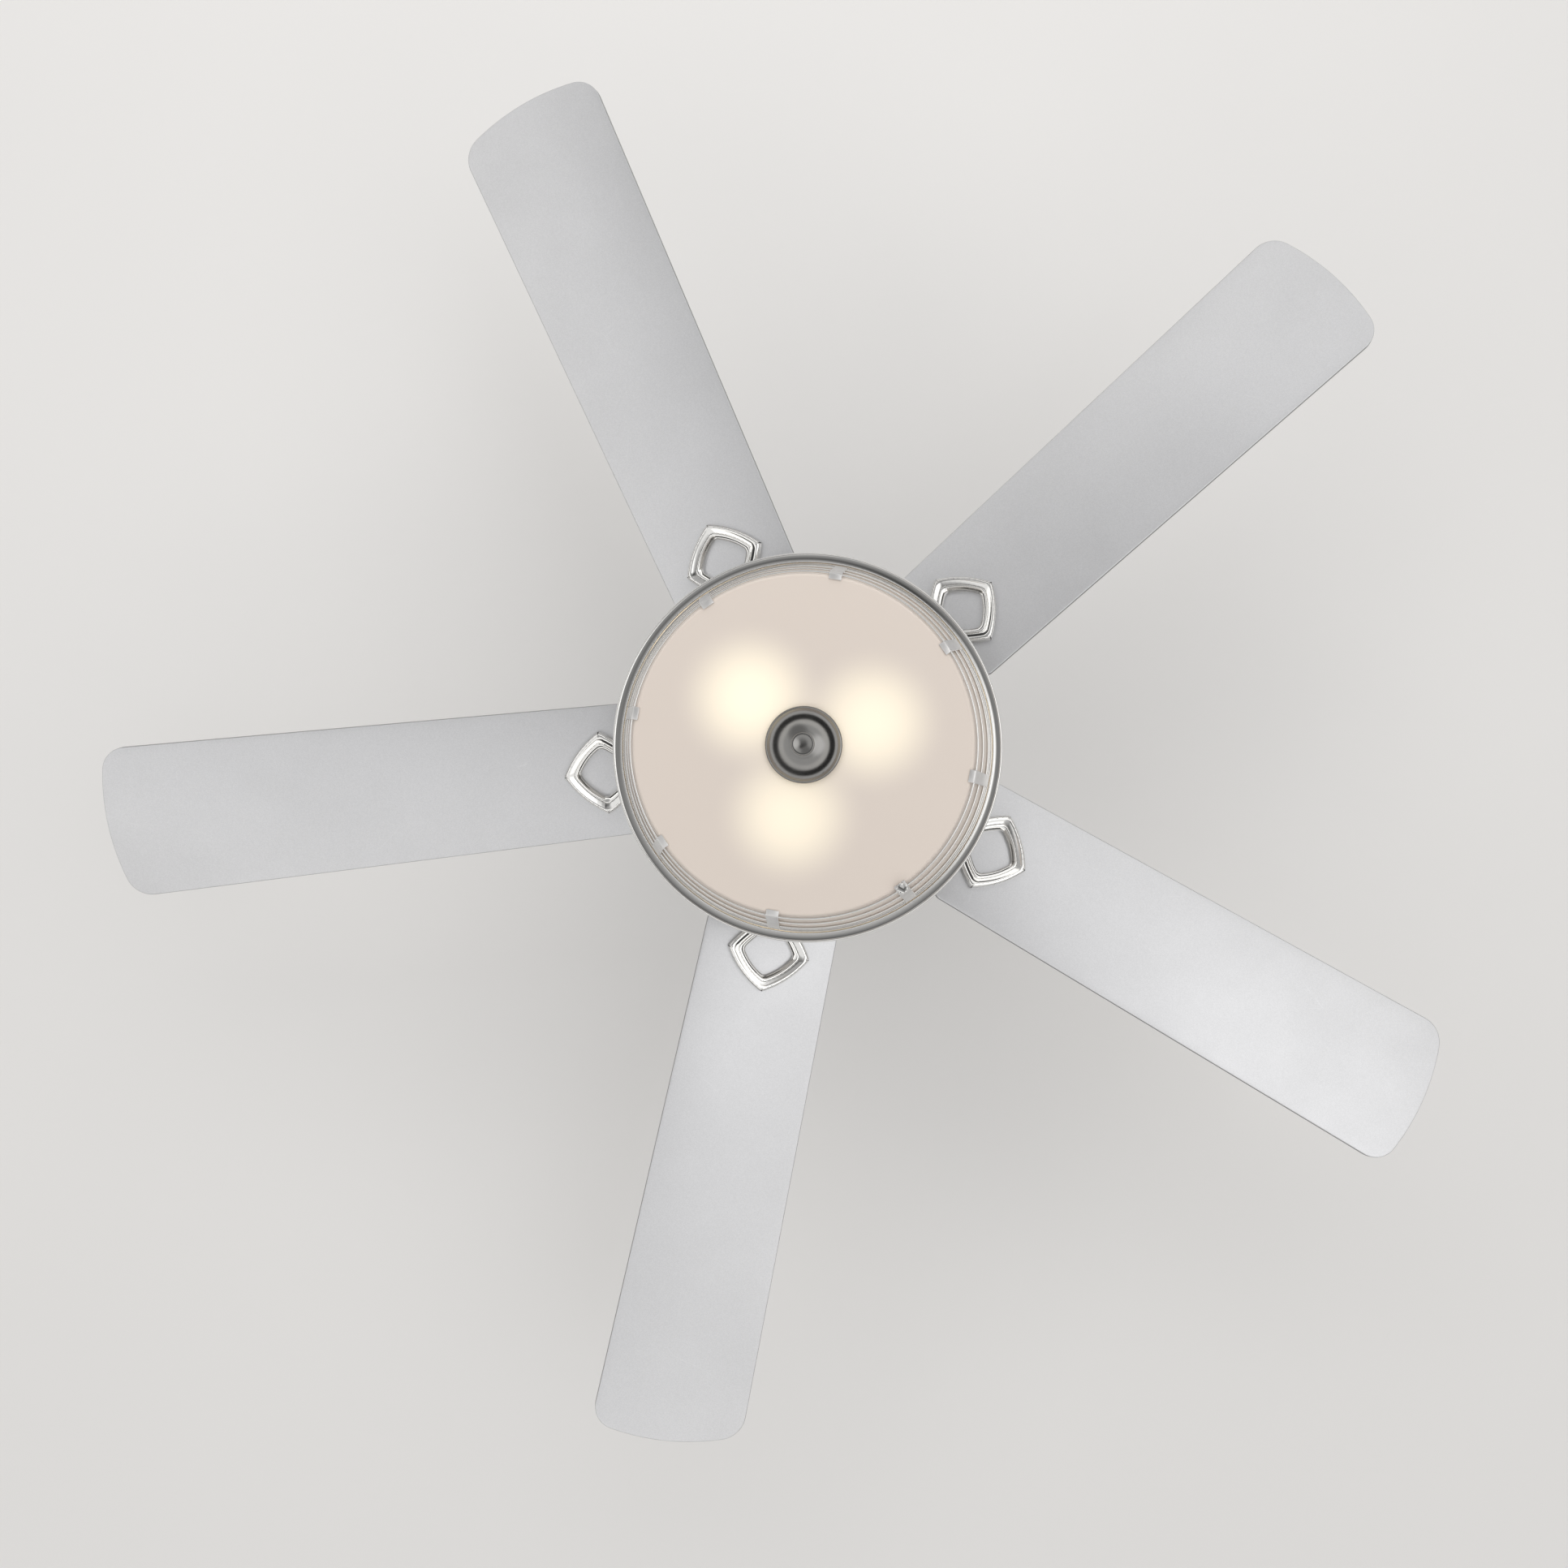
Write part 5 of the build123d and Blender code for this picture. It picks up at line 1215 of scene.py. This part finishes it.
class FAN_OT_carried_parts(Operator):
    """Smooth shading and finishes for the remaining parts of the frame"""

    bl_idname = "fan.carried_parts"
    bl_label = "Other Parts"

    def execute(self, context):
        record = frame["record"]
        slots = {part["node"]: part["material_slot"] for part in record["subparts"]}
        bodies = {node: body for body, nodes in record["behaviour"]["bodies"].items() for node in nodes}
        for node, cad in frame["nodes"].items():
            if cad.hide_render:
                continue
            slot = slots[node]
            hand_over(smooth_copy(node), bodies[node], slot, material_for(slot), node)
        return {"FINISHED"}


class FAN_OT_stage(Operator):
    """Pale ceiling, soft studio light and the camera that looks up at the fan"""

    bl_idname = "fan.stage"
    bl_label = "Stage"

    def soft_box(self, name, spot, target, size, power):
        """One soft light aimed at a point."""
        light = bpy.data.lights.new(name, "AREA")
        light.shape = "RECTANGLE"
        light.size, light.size_y = size
        light.energy = power
        holder = bpy.data.objects.new(name, light)
        bpy.context.scene.collection.objects.link(holder)
        holder.location = spot
        holder.rotation_mode = "QUATERNION"
        holder.rotation_quaternion = (Vector(target) - Vector(spot)).to_track_quat("-Z", "Y")
        return holder

    def studio_world(self):
        """Soft studio: dark floor, pale walls with a dark band, one lit side and one shaded side."""
        world = bpy.data.worlds.new("soft_studio")
        bpy.context.scene.world = world
        world.use_nodes = True
        tree = world.node_tree
        spot = place(tree, "ShaderNodeTexCoord")
        split = place(tree, "ShaderNodeSeparateXYZ")
        wire(tree, spot, "Generated", split, "Vector")
        below = place(tree, "ShaderNodeMapRange", interpolation_type="SMOOTHSTEP", From_Min=-0.98,
                      From_Max=-0.92)
        wire(tree, split, "Z", below, "Value")
        across = place(tree, "ShaderNodeMapRange", From_Min=-0.2, From_Max=0.2)
        wire(tree, split, "Y", across, "Value")
        dim_floor, bright_floor, low_wall = (0.03, 0.03, 0.03), (0.45, 0.45, 0.45), (0.85, 0.85, 0.85)
        floor = tint(tree, across, "Result", dim_floor, bright_floor)
        seen = over(tree, floor, below, "Result", low_wall)
        walls = [(-0.78, -0.70, (1.20, 1.19, 1.17)),
                 (-0.56, -0.50, (0.05, 0.05, 0.05)),
                 (-0.22, -0.16, (1.0, 1.0, 1.0))]
        for start, end, colour in walls:
            rise = place(tree, "ShaderNodeMapRange", interpolation_type="SMOOTHSTEP", From_Min=start,
                         From_Max=end)
            wire(tree, split, "Z", rise, "Value")
            seen = over(tree, seen, rise, "Result", colour)
        lit_side, shaded_side = (1, 0, -2), (-0.5, -1, -2)
        for direction, colour in ((lit_side, (1.6, 1.6, 1.6)), (shaded_side, (0.4, 0.4, 0.4))):
            facing = place(tree, "ShaderNodeVectorMath", operation="DOT_PRODUCT")
            facing.inputs[1].default_value = Vector(direction).normalized()
            wire(tree, spot, "Generated", facing, 0)
            soft = place(tree, "ShaderNodeMapRange", interpolation_type="SMOOTHSTEP", From_Min=0.92,
                         From_Max=0.99)
            wire(tree, facing, "Value", soft, "Value")
            seen = over(tree, seen, soft, "Result", colour)
        rays = place(tree, "ShaderNodeLightPath")
        shown = place(tree, "ShaderNodeMix", data_type="RGBA")
        backdrop, brightness = (0.60, 0.595, 0.585, 1), 1.15
        shown.inputs[7].default_value = backdrop
        wire(tree, rays, "Is Camera Ray", shown, 0)
        tree.links.new(seen.outputs[2], shown.inputs[6])
        back = tree.nodes["Background"]
        tree.links.new(shown.outputs[2], back.inputs["Color"])
        back.inputs["Strength"].default_value = brightness

    def execute(self, context):
        settings = context.scene.fan_stage
        deselect()
        ceiling_span, ceiling_gap = 9, 0.3 * MM
        bpy.ops.mesh.primitive_plane_add(
            size=ceiling_span, location=(0, 0, ceiling_gap), rotation=(math.pi, 0, 0))
        ceiling = settle(context.object)
        ceiling.name = "stage_ceiling"
        ceiling.data.materials.append(plaster())
        ceiling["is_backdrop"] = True
        self.studio_world()
        fill_spot, fill_target, fill_size, fill_watts = (-0.2, -2.0, -1.7), (-0.1, -0.6, 0), (2.4, 2.4), 22
        fill = self.soft_box("fill_light", fill_spot, fill_target, fill_size, fill_watts)
        fill.visible_glossy = False
        low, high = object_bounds()
        camera_data = bpy.data.cameras.new("camera")
        camera_data.lens = settings.lens
        film_width, shift = 36, (-0.0440, -0.0015)
        camera_data.sensor_width = film_width
        camera_data.shift_x, camera_data.shift_y = shift
        camera = bpy.data.objects.new("camera", camera_data)
        context.scene.collection.objects.link(camera)
        camera.location = (*settings.camera_place, blade_height() - settings.camera_drop)
        camera.rotation_mode = "QUATERNION"
        camera.rotation_quaternion = Matrix(((1, 0, 0), (0, -1, 0), (0, 0, -1))).to_quaternion()
        context.scene.camera = camera
        context.scene.view_settings.view_transform = "Standard"
        return {"FINISHED"}


class FAN_PT_sidebar(Panel):
    """Lists the fan's pieces and settings"""

    bl_idname = "FAN_PT_sidebar"
    bl_label = "Ceiling Fan"
    bl_space_type = "VIEW_3D"
    bl_region_type = "UI"
    bl_category = "Ceiling Fan"

    def draw(self, context):
        column = self.layout.column(align=True)
        for operator in OPERATORS:
            column.operator(operator.bl_idname)
        for name in SETTINGS:
            group = getattr(context.scene, name)
            box = self.layout.box()
            for key in group.__annotations__:
                box.prop(group, key)


SETTINGS = {"fan_blades": BladeSettings, "fan_metal": MetalSettings, "fan_light": LightSettings,
            "fan_stage": StageSettings}
OPERATORS = (FAN_OT_ceiling_end, FAN_OT_motor, FAN_OT_blades, FAN_OT_blade_irons, FAN_OT_light_pan,
             FAN_OT_lamps, FAN_OT_shade, FAN_OT_finial, FAN_OT_carried_parts, FAN_OT_stage)


def register():
    """Registers the settings, the operators and the panel."""
    for name, group in SETTINGS.items():
        bpy.utils.register_class(group)
        setattr(bpy.types.Scene, name, PointerProperty(type=group))
    for kind in (*OPERATORS, FAN_PT_sidebar):
        bpy.utils.register_class(kind)


def unregister():
    """Takes them away again."""
    for kind in (FAN_PT_sidebar, *reversed(OPERATORS)):
        bpy.utils.unregister_class(kind)
    for name, group in reversed(SETTINGS.items()):
        delattr(bpy.types.Scene, name)
        bpy.utils.unregister_class(group)


def main():
    """Builds every piece in order."""
    register()
    for operator in OPERATORS:
        family, action = operator.bl_idname.split(".")
        getattr(getattr(bpy.ops, family), action)()


if __name__ == "__main__":
    main()
